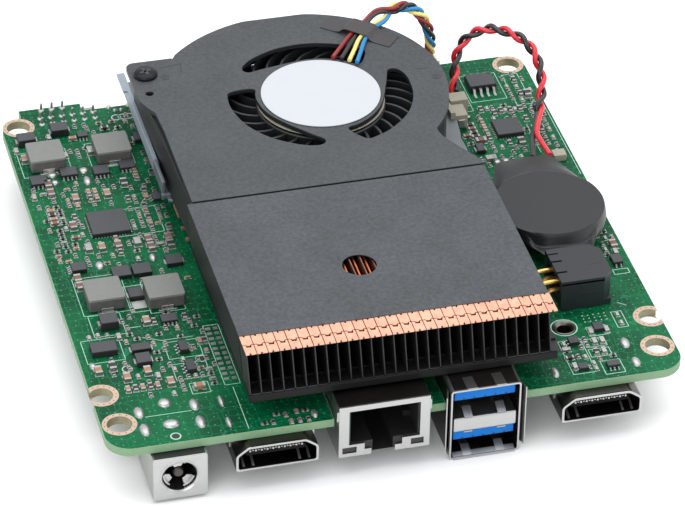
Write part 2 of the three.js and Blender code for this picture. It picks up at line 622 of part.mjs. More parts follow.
function makeCoils() {
  COILS.forEach(([x, y], i) => {
    part(`inductor_${i + 1}`,
      chamferedBlock(x, y, COIL.width, COIL.depth, GAP, COIL.height, 0.5), 'ferrite');
  });
  part('power_controller', chamferedBlock(13.1, 64.0, 7.0, 7.0, GAP, 0.95, 0.2), 'chip');
  part('memory_chip', chamferedBlock(91.1, 92.1, 4.9, 4.7, GAP, 1.65, 0.2), 'chip');
  part('sound_chip', chamferedBlock(92.0, 77.0, 5.2, 5.2, GAP, 1.0, 0.2), 'chip');
}

// 2 x 2 power header, its mouth facing the right edge of the board
function makePowerHeader() {
  const { x0, x1, y0, y1, z1 } = POWER;
  const middle = (y0 + y1) / 2;
  const body = block(x0, x1, y0, y1, GAP, z1);
  const corner = plate(polygon([[x1 - 1.8, y1 + 1], [x1 + 1, y1 - 1.8], [x1 + 1, y1 + 1]]), -1, 9);
  const mouth = block(x0 + 2.2, x1 + 1, y0 + 1.1, y1 - 1.1, 1.0, z1 - 0.9);
  const core = block(x0 + 1.5, x1 - 0.8, middle - 3.1, middle + 3.1, 1.6, 4.8);
  const shell = solid(cut(body, mouth)).add(solid(core)).subtract(solid(corner));
  part('power_header', toGeometry(shell), 'blackPlastic');
}

// ---------------------------------------------------------------- sockets underneath
function makeMemorySocket() {
  const { x0, x1, y0, y1, arm, reach, latch } = MEMORY;
  const top = UNDER - GAP;
  const slot = block(x0 + 4.2, x1 - 4.2, y0 - 1, y0 + 4, FOOT + 2.6, FOOT + 4.0);
  const armAt = (x) => block(x, x + arm, y0 - reach, y0 + 1, FOOT + 0.8, FOOT + 4.2);
  const socket = join(
    cut(block(x0, x1, y0, y1, FOOT, top), slot),
    armAt(x0), armAt(x1 - arm),
  );
  part('memory_socket', socket, 'blackPlastic');
  // sheet-metal latch inside each arm: a long leaf with an inward hook at its tip
  const leaf = (x, inward) => {
    const tip = y0 - reach + 1;
    const points = [[0, y0 - 0.6], [0, tip], [inward * 1.6, tip + 1.6],
      [inward * latch, tip + 2.6], [inward * latch, y0 - 0.6]]
      .map(([dx, y]) => [x + dx, y]);
    return plate(polygon(points), FOOT + 1.4, FOOT + 3.6);
  };
  part('memory_latch_left', leaf(x0 + arm + 1.9, 1), 'steel');
  part('memory_latch_right', leaf(x1 - arm - 1.9, -1), 'steel');
}

function makeCardSocket() {
  const top = UNDER - GAP;
  const body = block(57, 87, 60, 66.5, top - 4.0, top);
  const slot = block(58.5, 85.5, 59, 63, top - 3.4, top - 2.2);
  part('card_socket', cut(body, slot), 'blackPlastic');
}

makeBoard();
makeStandoff();
makeJack();
makeHdmi('hdmi_left', HDMI.centres[0]);
makeHdmi('hdmi_right', HDMI.centres[1]);
makeEthernet();
makeUsbStack();
makeRearUsb();
makeProcessor();
makeSinkBase();
makeFins();
makeLid();
makeHousing();
makeTray();
makeEarScrew();
makeImpeller();
makeMotor();
makeTape();
makeFanWires();
makeBatteryLeads();
makeCell();
makeCoils();
makePowerHeader();
makeMemorySocket();
makeCardSocket();

// origin in the middle of the footprint, on the plane the board stands on
const FRONT_FACE = -2.3;
board.position.set(-BOARD.width / 2, -(FRONT_FACE + REAR_PORT_FACE) / 2, -FOOT);

const computer = new THREE.Group();
computer.add(board);
export default computer;
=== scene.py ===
"""Looks for the palm-size computer main board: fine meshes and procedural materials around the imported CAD.

Every measure below is in millimetres in the board's own frame: x along the port edge from the left
corner, y from the port edge to the back, z = 0 on the board's upper face.
"""

import math
import random

import bmesh
import bpy
from mathutils import Matrix, Vector


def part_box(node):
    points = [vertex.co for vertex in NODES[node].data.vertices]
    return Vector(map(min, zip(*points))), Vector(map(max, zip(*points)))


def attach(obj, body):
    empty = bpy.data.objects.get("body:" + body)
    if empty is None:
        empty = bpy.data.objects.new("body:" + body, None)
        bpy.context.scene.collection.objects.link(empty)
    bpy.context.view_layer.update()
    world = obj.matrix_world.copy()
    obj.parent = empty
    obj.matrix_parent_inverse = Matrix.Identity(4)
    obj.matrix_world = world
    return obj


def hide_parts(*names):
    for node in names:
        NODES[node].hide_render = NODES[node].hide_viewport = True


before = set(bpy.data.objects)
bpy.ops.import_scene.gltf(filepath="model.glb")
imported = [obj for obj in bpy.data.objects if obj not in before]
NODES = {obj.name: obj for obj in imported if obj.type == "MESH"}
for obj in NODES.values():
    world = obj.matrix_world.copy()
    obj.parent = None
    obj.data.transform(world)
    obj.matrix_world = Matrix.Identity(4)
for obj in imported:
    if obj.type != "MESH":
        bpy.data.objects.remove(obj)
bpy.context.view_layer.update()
BODY = "board"
MM = 0.001
_low, _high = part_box("circuit_board")
ORIGIN = Vector((_low[0], _low[1], _high[2]))
FLOOR = -11.0
UNDER = -1.6
HUB = (55.4, 75.7)


def at(x, y, z=0.0):
    return ORIGIN + Vector((x, y, z)) * MM


# ------------------------------------------------------------------ camera
CAMERA = {"place": (-96.142, -499.827, 408.912), "aim": (52.039, 45.9, 0.0), "roll": 1.133, "lens": 205.127}


def make_camera():
    data = bpy.data.cameras.new("camera")
    data.sensor_width = 36
    data.lens = CAMERA["lens"]
    data.clip_start = 0.01
    camera = bpy.data.objects.new("camera", data)
    bpy.context.collection.objects.link(camera)
    place, aim = at(*CAMERA["place"]), at(*CAMERA["aim"])
    turn = (aim - place).to_track_quat("-Z", "Y").to_matrix().to_4x4()
    roll = Matrix.Rotation(math.radians(CAMERA["roll"]), 4, "Z")
    camera.matrix_world = Matrix.Translation(place) @ turn @ roll
    bpy.context.scene.camera = camera


make_camera()


# ------------------------------------------------------------------ materials
def srgb(r, g, b):
    """The linear colour of three screen values from 0 to 255."""
    shares = (c / 255 for c in (r, g, b))
    return tuple(c / 12.92 if c <= 0.04045 else ((c + 0.055) / 1.055) ** 2.4 for c in shares)


class Nodes:
    """A material's node tree, with the few links every surface here needs."""

    def __init__(self, name):
        self.material = bpy.data.materials.new(name)
        self.material.use_nodes = True
        self.tree = self.material.node_tree
        self.shader = self.tree.nodes["Principled BSDF"]
        self.coords = self.new("ShaderNodeTexCoord").outputs["Object"]

    def new(self, kind, **settings):
        node = self.tree.nodes.new(kind)
        for key, value in settings.items():
            setattr(node, key, value)
        return node

    def link(self, a, b):
        self.tree.links.new(a, b)

    def noise(self, scale, detail=3.0, stretch=None):
        node = self.new("ShaderNodeTexNoise")
        node.inputs["Scale"].default_value = scale
        node.inputs["Detail"].default_value = detail
        source = self.coords
        if stretch:
            mapping = self.new("ShaderNodeMapping")
            mapping.inputs["Scale"].default_value = stretch
            self.link(source, mapping.inputs["Vector"])
            source = mapping.outputs["Vector"]
        self.link(source, node.inputs["Vector"])
        return node.outputs["Fac"]

    def ramp(self, value, stops):
        node = self.new("ShaderNodeValToRGB")
        ramp = node.color_ramp
        while len(ramp.elements) < len(stops):
            ramp.elements.new(0.5)
        for element, (place, color) in zip(ramp.elements, stops):
            element.position = place
            element.color = (*color, 1)
        self.link(value, node.inputs["Fac"])
        return node.outputs["Color"]

    def spread(self, value, low, high):
        node = self.new("ShaderNodeMapRange")
        node.inputs["From Min"].default_value = 0.3
        node.inputs["From Max"].default_value = 0.7
        node.inputs["To Min"].default_value = low
        node.inputs["To Max"].default_value = high
        self.link(value, node.inputs["Value"])
        return node.outputs["Result"]

    def mix(self, factor, a, b):
        node = self.new("ShaderNodeMix", data_type="RGBA")
        for socket, value in zip((node.inputs[0], node.inputs[6], node.inputs[7]), (factor, a, b)):
            if isinstance(value, float):
                socket.default_value = value
            elif isinstance(value, tuple):
                socket.default_value = (*value, 1)
            else:
                self.link(value, socket)
        return node.outputs[2]

    def math(self, operation, a, b):
        node = self.new("ShaderNodeMath", operation=operation)
        for socket, value in zip(node.inputs, (a, b)):
            if isinstance(value, float):
                socket.default_value = value
            else:
                self.link(value, socket)
        return node.outputs[0]

    def bump(self, height, strength, distance):
        node = self.new("ShaderNodeBump")
        node.inputs["Strength"].default_value = strength
        node.inputs["Distance"].default_value = distance * MM
        self.link(height, node.inputs["Height"])
        self.link(node.outputs["Normal"], self.shader.inputs["Normal"])


def surface(name, color, rough=0.5, metal=0.0, vary=0.12, scale=900, bump=0.1, depth=0.05, coat=0.0,
            stretch=None, spec=None):
    """A surface whose tone, gloss and relief all vary finely over it."""
    n = Nodes(name)
    fine = n.noise(scale, 4, stretch)
    broad = n.noise(scale / 14, 2)
    dark = tuple(c * (1 - vary) for c in color)
    light = tuple(min(1, c * (1 + vary)) for c in color)
    tone = n.ramp(fine, [(0.3, dark), (0.7, light)])
    shade = n.ramp(broad, [(0.3, dark), (0.7, light)])
    n.link(n.mix(0.4, tone, shade), n.shader.inputs["Base Color"])
    n.link(n.spread(broad, max(0.03, rough - 0.06), min(1, rough + 0.06)), n.shader.inputs["Roughness"])
    n.shader.inputs["Metallic"].default_value = metal
    if coat:
        n.shader.inputs["Coat Weight"].default_value = coat
        n.shader.inputs["Coat Roughness"].default_value = 0.15
    if spec is not None:
        n.shader.inputs["Specular IOR Level"].default_value = spec
    if bump:
        n.bump(fine, bump, depth)
    return n.material


def solder_mask():
    """Green mask over copper: pours in two greens, paler raised tracks and small via dots."""
    n = Nodes("solder_mask")
    green, track, deep = srgb(0, 90, 52), srgb(4, 112, 70), srgb(0, 68, 40)

    def cells(scale, feature, metric="CHEBYCHEV"):
        node = n.new("ShaderNodeTexVoronoi", feature=feature, distance=metric, voronoi_dimensions="2D")
        node.inputs["Scale"].default_value = scale
        node.inputs["Randomness"].default_value = 0.55
        n.link(n.coords, node.inputs["Vector"])
        return node.outputs["Distance"]

    def lines(scale, width):
        near, far = cells(scale, "F1"), cells(scale, "F2")
        return n.math("LESS_THAN", n.math("SUBTRACT", far, near), width)

    pours = n.ramp(n.noise(90, 1), [(0.42, deep), (0.6, green)])
    fine = lines(520, 0.05)
    coarse = lines(170, 0.02)
    color = n.mix(fine, pours, track)
    color = n.mix(coarse, color, srgb(12, 108, 70))
    dots = n.math("LESS_THAN", cells(560, "F1", "EUCLIDEAN"), 0.07)
    color = n.mix(dots, color, srgb(84, 150, 118))
    n.link(color, n.shader.inputs["Base Color"])
    n.shader.inputs["Roughness"].default_value = 0.4
    n.shader.inputs["Specular IOR Level"].default_value = 0.16
    n.bump(n.math("ADD", fine, coarse), 0.2, 0.03)
    return n.material


M = {
    "mask": solder_mask(),
    "laminate": surface("laminate", srgb(116, 148, 114), 0.6, vary=0.18, scale=1600, stretch=(1, 1, 6)),
    "hole_wall": surface("hole_wall", srgb(138, 134, 104), 0.5, 0.2, vary=0.25, scale=1200),
    "pad_ring": surface("pad_ring", srgb(190, 166, 146), 0.5, 0.25, vary=0.12, scale=1500),
    "via_dot": surface("via_dot", srgb(120, 88, 70), 0.5, 0.4),
    "silk": surface("silk", srgb(160, 202, 182), 0.6, vary=0.1, bump=0),
    "solder": surface("solder", srgb(176, 178, 176), 0.36, 0.8, vary=0.1, scale=700, bump=0.35, depth=0.15),
    "tin": surface("tin", srgb(182, 182, 179), 0.3, 0.9, vary=0.12, scale=1500),
    "steel": surface("plated_steel", srgb(184, 184, 183), 0.3, 1.0, vary=0.05, scale=700, bump=0.04,
                     stretch=(1, 1, 7)),
    # The plated steel darkened as painted shade: for port tops under the board and the heat sink, walls
    # inside the openings and the pin deep in the jack.
    "port_top": surface("port_top", srgb(84, 80, 78), 0.34, 1.0, vary=0.15, scale=600),
    "dark_steel": surface("dark_steel", srgb(110, 108, 106), 0.3, 1.0, vary=0.15, scale=700),
    # The tray's grey is darkened as painted shade, for the shade that falls on it under the blower cover; the
    # lip keeps the lighter grey of the sheet.
    "tray": surface("tray", srgb(120, 126, 130), 0.42, 0.8, vary=0.08, scale=500, bump=0.12),
    "lip": surface("lip", srgb(146, 156, 166), 0.45, 0.4, vary=0.05, scale=500),
    "clip": surface("clip", srgb(108, 116, 122), 0.42, 0.5, vary=0.1, scale=500),
    "copper": surface("copper", srgb(230, 172, 146), 0.42, 0.6, vary=0.22, scale=800, bump=0.3, depth=0.1),
    "fin": surface("fin", srgb(58, 58, 60), 0.42, 0.8, vary=0.25, scale=700),
    "fin_deep": surface("fin_deep", srgb(206, 120, 76), 0.35, 0.9, vary=0.2, scale=700),
    "base": surface("coated_base", srgb(16, 16, 17), 0.5, 0.1, vary=0.2, scale=700, spec=0.25),
    "film": surface("film", srgb(64, 68, 72), 0.62, 0.0, vary=0.45, scale=1500, bump=0.6, depth=0.1),
    "lid": surface("lid", srgb(60, 64, 67), 0.6, 0.0, vary=0.38, scale=1500, bump=0.5, depth=0.08),
    "lid_edge": surface("lid_edge", srgb(30, 32, 34), 0.5, 0.0, vary=0.1, scale=900),
    "plastic": surface("black_plastic", srgb(22, 22, 24), 0.5, vary=0.2, scale=900, bump=0.15),
    "port_black": surface("port_black", srgb(9, 9, 10), 0.6, vary=0.2, scale=900, spec=0.15),
    "blade": surface("blade", srgb(38, 39, 41), 0.4, vary=0.15, scale=900),
    "wall": surface("housing_wall", srgb(22, 23, 25), 0.45, 0.0, vary=0.15, scale=500, spec=0.3),
    "blue": surface("blue_plastic", srgb(0, 104, 186), 0.45, vary=0.08, scale=900, spec=0.2),
    "label": surface("label", srgb(188, 192, 196), 0.8, vary=0.015, scale=300, bump=0.02, spec=0.15),
    "cream": surface("cream", srgb(150, 146, 130), 0.5, vary=0.06, scale=500),
    "white": surface("white_plastic", srgb(236, 234, 226), 0.4, vary=0.05, scale=500),
    "wrap": surface("shrink_wrap", srgb(24, 27, 28), 0.42, vary=0.06, scale=160, bump=0.3, depth=0.25),
    "tape": surface("tape", srgb(62, 59, 60), 0.62, vary=0.1, scale=700, bump=0.4, depth=0.1),
    "ferrite": surface("ferrite", srgb(118, 120, 117), 0.6, vary=0.07, scale=1500, bump=0.3, depth=0.06),
    # A darker ferrite for the coils' sides: painted shade, for light that falls from above onto the tops.
    "ferrite_side": surface("ferrite_side", srgb(84, 82, 80), 0.6, vary=0.25, scale=900, bump=0.3),
    "chip": surface("chip", srgb(62, 64, 68), 0.55, vary=0.09, scale=2200, bump=0.25),
    "chip_side": surface("chip_side", srgb(28, 27, 30), 0.5, vary=0.15, scale=1500),
    "resistor": surface("resistor", srgb(34, 32, 34), 0.4, vary=0.15, scale=1500),
    "ceramic": surface("ceramic", srgb(158, 116, 90), 0.5, vary=0.15, scale=1500),
    "brown": surface("brown_ceramic", srgb(112, 80, 66), 0.5, vary=0.15, scale=1500),
    "screw": surface("black_screw", srgb(28, 29, 30), 0.34, 0.7, vary=0.2, scale=900),
    "gold": surface("gold", srgb(226, 178, 104), 0.3, 0.95, vary=0.1, scale=900),
    "brass": surface("brass", srgb(196, 164, 100), 0.35, 1.0, vary=0.1, scale=900),
    "red": surface("wire_red", srgb(206, 30, 44), 0.36, vary=0.08, scale=900, coat=0.3),
    "black": surface("wire_black", srgb(30, 28, 30), 0.36, vary=0.1, scale=900, coat=0.3),
    "brick": surface("wire_brick", srgb(140, 40, 42), 0.4, vary=0.1, scale=900),
    "yellow": surface("wire_yellow", srgb(234, 214, 124), 0.4, vary=0.08, scale=900),
    "sky": surface("wire_blue", srgb(36, 126, 186), 0.4, vary=0.08, scale=900),
    "power_black": surface("power_black", srgb(30, 34, 38), 0.45, vary=0.08, scale=1400, bump=0.15),
    "package": surface("package", srgb(40, 104, 66), 0.45, vary=0.1, scale=900),
    "silicon": surface("silicon", srgb(120, 124, 130), 0.15, 0.5, vary=0.04, scale=500),
}


# ------------------------------------------------------------------ mesh building
def arc(cx, cy, r, start, end, steps):
    angles = (math.radians(start + (end - start) * i / steps) for i in range(steps + 1))
    return [(cx + r * math.cos(a), cy + r * math.sin(a)) for a in angles]


def circle(cx, cy, r, steps=40):
    return arc(cx, cy, r, 0, 360, steps)[:-1]


def rect(x0, x1, y0, y1):
    return [(x0, y0), (x1, y0), (x1, y1), (x0, y1)]


def rounded(x0, x1, y0, y1, r, steps=5):
    return (arc(x0 + r, y0 + r, r, 180, 270, steps) + arc(x1 - r, y0 + r, r, 270, 360, steps)
            + arc(x1 - r, y1 - r, r, 0, 90, steps) + arc(x0 + r, y1 - r, r, 90, 180, steps))


def spaced(start, step, count):
    """Evenly spaced places along a line."""
    return [start + step * k for k in range(count)]


def turned(points, degrees, cx, cy):
    c, s = math.cos(math.radians(degrees)), math.sin(math.radians(degrees))
    return [(cx + (x - cx) * c - (y - cy) * s, cy + (x - cx) * s + (y - cy) * c) for x, y in points]


def smooth(points, per=6, closed=False):
    """Catmull-Rom through the points."""
    vs = [Vector(p) for p in points]
    count = len(vs)
    out = []
    for i in range(count if closed else count - 1):
        if closed:
            a, b, c, d = (vs[(i + k) % count] for k in (-1, 0, 1, 2))
        else:
            b, c = vs[i], vs[i + 1]
            a = vs[i - 1] if i else b * 2 - c
            d = vs[i + 2] if i + 2 < count else c * 2 - b
        for k in range(per):
            t = k / per
            out.append(0.5 * (2 * b + (c - a) * t + (2 * a - 5 * b + 4 * c - d) * t * t
                              + (3 * b - a - 3 * c + d) * t ** 3))
    if not closed:
        out.append(vs[-1])
    return out


def smooth_pairs(points, per, closed=False):
    return [(p.x, p.y) for p in smooth([(a, b, 0) for a, b in points], per, closed)]


def spot(axis, a, b, along):
    """A point of an outline (a, b) that stands along the given axis."""
    return {"x": (along, a, b), "y": (a, along, b), "z": (a, b, along)}[axis]


def middle_of(face, verts):
    return [sum(verts[i][k] for i in face) / len(face) for k in range(3)]


def extent_of(face, verts, k):
    return max(verts[i][k] for i in face) - min(verts[i][k] for i in face)


class Shape:
    """Collects simple solids in board millimetres, then makes one object of them."""

    def __init__(self):
        self.verts, self.faces, self.marks = [], [], []

    def add(self, verts, faces, mark=0):
        base = len(self.verts)
        self.verts += [tuple(v) for v in verts]
        for face in faces:
            self.faces.append([base + i for i in face])
            self.marks.append(mark(face, verts) if callable(mark) else mark)
        return self

    def box(self, x0, x1, y0, y1, z0, z1, mark=0, lean=0.0):
        lower = [(x, y, z0) for x, y in rect(x0, x1, y0, y1)]
        return self.pair(lower, [(x + lean, y, z1) for x, y, _ in lower], mark)

    def pair(self, lower, upper, mark=0):
        """Joins two rings of equal length into a closed solid."""
        count = len(lower)
        faces = [list(range(count))[::-1], list(range(count, 2 * count))]
        faces += [[i, (i + 1) % count, count + (i + 1) % count, count + i] for i in range(count)]
        return self.add(lower + upper, faces, mark)

    def prism(self, outline, low, high, mark=0, axis="z"):
        lower, upper = ([spot(axis, a, b, end) for a, b in outline] for end in (low, high))
        return self.pair(lower, upper, mark)

    @staticmethod
    def skin(rings, sides):
        """The faces between neighbouring rings of points."""
        return [[i * sides + k, i * sides + (k + 1) % sides, (i + 1) * sides + (k + 1) % sides,
                 (i + 1) * sides + k]
                for i in range(rings - 1) for k in range(sides)]

    def tube(self, path, r, sides=12, mark=0):
        points = [Vector(p) for p in path]
        tangent = (points[1] - points[0]).normalized()
        normal = tangent.orthogonal().normalized()
        verts = []
        for i, p in enumerate(points):
            ahead = points[min(i + 1, len(points) - 1)] - points[max(i - 1, 0)]
            if ahead.length > 1e-9:
                turn = tangent.rotation_difference(ahead.normalized())
                normal = (turn @ normal).normalized()
                tangent = ahead.normalized()
            side = tangent.cross(normal)
            verts += [p + (normal * math.cos(a) + side * math.sin(a)) * r
                      for a in (2 * math.pi * k / sides for k in range(sides))]
        rings = len(points)
        faces = self.skin(rings, sides)
        faces += [list(range(sides))[::-1], [(rings - 1) * sides + k for k in range(sides)]]
        return self.add(verts, faces, mark)

    def lathe(self, profile, cx, cy, sides=48, mark=0, axis="z"):
        """A closed profile of (radius, height) turned about an upright or a front-to-back axis."""
        rows = []
        verts = []
        for r, h in profile:
            start = len(verts)
            if r < 1e-6:
                verts.append(spot(axis, cx, cy, h))
                rows.append([start] * sides)
                continue
            for k in range(sides):
                a = 2 * math.pi * k / sides
                verts.append(spot(axis, cx + r * math.cos(a), cy + r * math.sin(a), h))
            rows.append(list(range(start, start + sides)))
        faces = []
        count = len(profile)
        for i in range(count):
            low, high = rows[i], rows[(i + 1) % count]
            if low[0] == low[-1] and high[0] == high[-1]:
                continue
            for k in range(sides):
                quad = [low[k], low[(k + 1) % sides], high[(k + 1) % sides], high[k]]
                face = list(dict.fromkeys(quad))
                if len(face) > 2:
                    faces.append(face)
        return self.add(verts, faces, mark)

    def blob(self, x, y, rx, ry, rz):
        """A low mound of solder on the board."""
        levels = [(1.0, 0.0), (0.93, 0.35), (0.74, 0.7), (0.42, 0.93), (0.0, 1.0)]
        sides = 14
        verts = []
        for share, height in levels[:-1]:
            verts += [(x + rx * u, y + ry * v, rz * height) for u, v in circle(0, 0, share, sides)]
        verts.append((x, y, rz))
        faces = self.skin(len(levels) - 1, sides)
        last = (len(levels) - 2) * sides
        faces += [[last + k, last + (k + 1) % sides, len(verts) - 1] for k in range(sides)]
        faces.append(list(range(sides))[::-1])
        return self.add(verts, faces)

    def plate(self, loops, z0, z1, bevel=0.0, mark=0, axis="z"):
        """A plate with holes and softened edges; the first loop is the outline."""
        curve = bpy.data.curves.new("plate", "CURVE")
        curve.dimensions = "2D"
        curve.fill_mode = "BOTH"
        curve.extrude = (z1 - z0) / 2 - bevel
        curve.bevel_depth = bevel
        curve.bevel_resolution = 1
        curve.offset = -bevel
        for loop in loops:
            spline = curve.splines.new("POLY")
            spline.points.add(len(loop) - 1)
            for point, (x, y) in zip(spline.points, loop):
                point.co = (x, y, 0, 1)
            spline.use_cyclic_u = True
        holder = bpy.data.objects.new("plate", curve)
        bpy.context.collection.objects.link(holder)
        bpy.context.view_layer.update()
        mesh = bpy.data.meshes.new_from_object(holder.evaluated_get(bpy.context.evaluated_depsgraph_get()))
        middle = (z0 + z1) / 2
        verts = [spot(axis, v.co.x, v.co.y, v.co.z + middle) for v in mesh.vertices]
        faces = [list(p.vertices) for p in mesh.polygons]
        bpy.data.objects.remove(holder)
        bpy.data.curves.remove(curve)
        bpy.data.meshes.remove(mesh)
        return self.add(verts, faces, mark)

    def done(self, name, materials, body=BODY, bevel=0.0, segments=2, slot=None, replaces=(), sharp=35):
        bm = bmesh.new()
        made = [bm.verts.new(at(*v)) for v in self.verts]
        for face, mark in zip(self.faces, self.marks):
            try:
                built = bm.faces.new([made[i] for i in face])
            except ValueError:
                continue
            built.material_index = mark
            built.smooth = True
        bmesh.ops.remove_doubles(bm, verts=bm.verts, dist=1e-7)
        bmesh.ops.recalc_face_normals(bm, faces=bm.faces)
        mesh = bpy.data.meshes.new(name)
        bm.to_mesh(mesh)
        bm.free()
        for key in materials.split():
            mesh.materials.append(M[key])
        piece = bpy.data.objects.new(name, mesh)
        bpy.context.collection.objects.link(piece)
        if bevel:
            soften(piece, bevel, segments)
        mesh.set_sharp_from_angle(angle=math.radians(sharp))
        level = piece.modifiers.new("normals", "WEIGHTED_NORMAL")
        level.keep_sharp = True
        if replaces:
            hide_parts(*replaces)
        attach(piece, body)
        return piece


def soften(piece, width, segments=2):
    bevel = piece.modifiers.new("edges", "BEVEL")
    bevel.width = width * MM
    bevel.segments = segments
    bevel.limit_method = "ANGLE"
    bevel.angle_limit = math.radians(40)
    bevel.harden_normals = True


def keep(node, key, bevel):
    """A CAD node that stays, with a finer material and softened edges."""
    piece = NODES[node]
    piece.data.materials.clear()
    piece.data.materials.append(M[key])
    soften(piece, bevel)


# ------------------------------------------------------------------ cords
def wire(name, path, r, key, exit_point, node, per=5):
    points = smooth(path, per)
    shape = Shape().tube(points, r, 12)
    piece = shape.done(name, key, slot=WIRE_SLOTS[key], replaces=[node], sharp=60)
    metres = [list(at(*p)) for p in points]
    list(at(*exit_point))


WIRE_SLOTS = {"red": "wire_red", "black": "wire_black", "brick": "wire_red", "yellow": "wire_yellow",
            "sky": "wire_blue"}


def route_length(points):
    vs = [Vector(p) for p in points]
    return sum((b - a).length for a, b in zip(vs, vs[1:])) * MM


UPPER_PAIR = [
    (68.9, 95.9, 15.2), (71.9, 97.6, 16.4), (74.7, 97.9, 17.5), (77.2, 97.7, 17.8), (79.3, 97.0, 17.0),
    (81.0, 96.7, 15.0), (82.3, 96.8, 12.0), (82.9, 97.0, 9.0), (82.9, 97.1, 7.0), (82.7, 97.1, 5.4),
]
LOWER_PAIR = [
    (70.3, 94.6, 15.1), (73.0, 96.2, 15.4), (75.2, 96.7, 16.1), (77.3, 96.6, 16.2), (79.0, 96.3, 15.3),
    (80.2, 96.3, 13.5), (81.2, 96.6, 11.0), (81.7, 96.9, 8.6), (81.7, 97.1, 7.0), (81.5, 97.1, 5.4),
]
WIRE_LEVEL = 15.05
FAN_WIRE_R = 0.4
FAN_WIRES = [
    ("fan_wire_red", "brick", UPPER_PAIR, 1, (60.4, 86.2), (65.2, 92.6)),
    ("fan_wire_black", "black", UPPER_PAIR, -1, (61.8, 85.4), (66.1, 92.0)),
    ("fan_wire_yellow", "yellow", LOWER_PAIR, 1, (63.1, 84.5), (66.9, 91.4)),
    ("fan_wire_blue", "sky", LOWER_PAIR, -1, (64.3, 83.5), (67.8, 90.8)),
]
ROPE_START = 2  # the first point of the routes that is part of the rope
ROPE_R = 0.72
ROPE_TURN = 52.0  # degrees of twist from one point of the rope to the next


def make_fan_wires():
    """Side by side under the tape, then the four wires twist into one rope down to the plug."""
    middles = [(Vector(a) + Vector(b)) / 2 for a, b in zip(UPPER_PAIR, LOWER_PAIR)]
    rope = smooth(middles[ROPE_START:], 2)
    for order, (node, key, pair, side, hub, tape) in enumerate(FAN_WIRES):
        middle = ((hub[0] + tape[0]) / 2, (hub[1] + tape[1]) / 2)
        path = [(x, y, WIRE_LEVEL) for x, y in (hub, middle, tape)]
        path += [(x, y + side * 0.5, z) for x, y, z in pair[:ROPE_START]]
        for i, centre in enumerate(rope):
            along = (rope[min(i + 1, len(rope) - 1)] - rope[max(i - 1, 0)]).normalized()
            across = along.cross(Vector((0, 1, 0))).normalized()
            angle = math.radians((45, 135, 315, 225)[order] + ROPE_TURN * (len(rope) - 1 - i))
            spot = centre + (across * math.cos(angle) + along.cross(across) * math.sin(angle)) * ROPE_R
            path.append(tuple(spot))
        length = route_length(smooth(path, 5))
        wire(node + "_run", path, FAN_WIRE_R, key, path[0], node)


LEAD_ROUTE = [
    (84.4, 87.2, 3.2), (84.9, 89.0, 5.0), (85.4, 90.6, 7.0), (86.1, 91.5, 9.0), (87.4, 91.9, 11.2),
    (89.3, 91.2, 13.2), (91.4, 89.8, 14.6), (93.3, 87.9, 15.2), (95.4, 86.1, 15.0), (97.3, 84.4, 14.0),
    (98.5, 82.6, 12.4), (99.0, 80.9, 10.4), (99.0, 79.4, 8.4), (98.5, 77.6, 6.5), (97.4, 75.0, 5.0),
    (96.2, 72.2, 4.2),
]
LEAD_SIDE = Vector((-0.3, -0.5, 0.8))  # never parallel to the route, so it sets a steady direction across it
LEAD_R, LEAD_OFFSET = 0.5, 0.53
RED_END = [(95.5, 70.2, 3.9), (95.2, 67.0, 3.9), (95.5, 61.9, 3.9)]
BLACK_END = [(94.7, 69.8, 3.3), (93.4, 65.8, 3.7), (92.2, 61.9, 3.9)]
TWIST = 58.0  # degrees of twist for each millimetre of route


def make_battery_leads():
    centre = smooth(LEAD_ROUTE, 6)
    for node, key, phase, end in (("battery_lead_red", "red", 0, RED_END),
                                  ("battery_lead_black", "black", 180, BLACK_END)):
        path = []
        run = 0.0
        for i, p in enumerate(centre):
            if i:
                run += (p - centre[i - 1]).length
            along = (centre[min(i + 1, len(centre) - 1)] - centre[max(i - 1, 0)]).normalized()
            across = along.cross(LEAD_SIDE).normalized()
            upward = along.cross(across)
            angle = math.radians(phase + 150 + TWIST * run)
            path.append(tuple(p + (across * math.cos(angle) + upward * math.sin(angle)) * LEAD_OFFSET))
        path = path[:-5] + end
        length = route_length(smooth(path, 3))
        wire(node + "_run", path, LEAD_R, key, path[0], node, per=3)


make_fan_wires()
make_battery_leads()


# ------------------------------------------------------------------ circuit board
HOLE_R, RING_R, DOT_R = 2.15, 3.0, 0.13
CORNER_HOLES = [(x, y) for x in (3.175, 98.425) for y in (6.985, 98.425)]
NOTCH = {"y": 15.4, "inset": 1.8, "r": 2.0}
SCREW_HOLES = [(29.5, 14.5), (74, 20), (51.5, 45)]
STANDOFF = (84.1, 15.6)


BOARD_SIDE = 101.6


def board_outline():
    """Round corners, a notch at each side, cut-outs round two sockets and the tab at the back."""
    w = BOARD_SIDE
    return (arc(4.5, 4.5, 4.5, 180, 270, 12)
            + [(38.72, 0), (38.72, 14.35), (55.41, 14.35), (55.41, 0), (58.29, 0), (58.29, 15.35),
               (71.4, 15.35), (71.4, 0)]
            + arc(w - 4.5, 4.5, 4.5, 270, 360, 12)
            + [(w, NOTCH["y"] - 2)] + arc(w - NOTCH["inset"], NOTCH["y"], 2, -90, -270, 20)
            + [(w, NOTCH["y"] + 2)]
            + arc(w - 4.5, w - 4.5, 4.5, 0, 90, 12)
            + [(15.9, w), (15.9, 104), (4.2, 104), (4.2, w)]
            + arc(4.5, w - 4.5, 4.5, 95, 180, 12)
            + [(0, NOTCH["y"] + 2)] + arc(NOTCH["inset"], NOTCH["y"], 2, 90, -90, 20) + [(0, NOTCH["y"] - 2)])


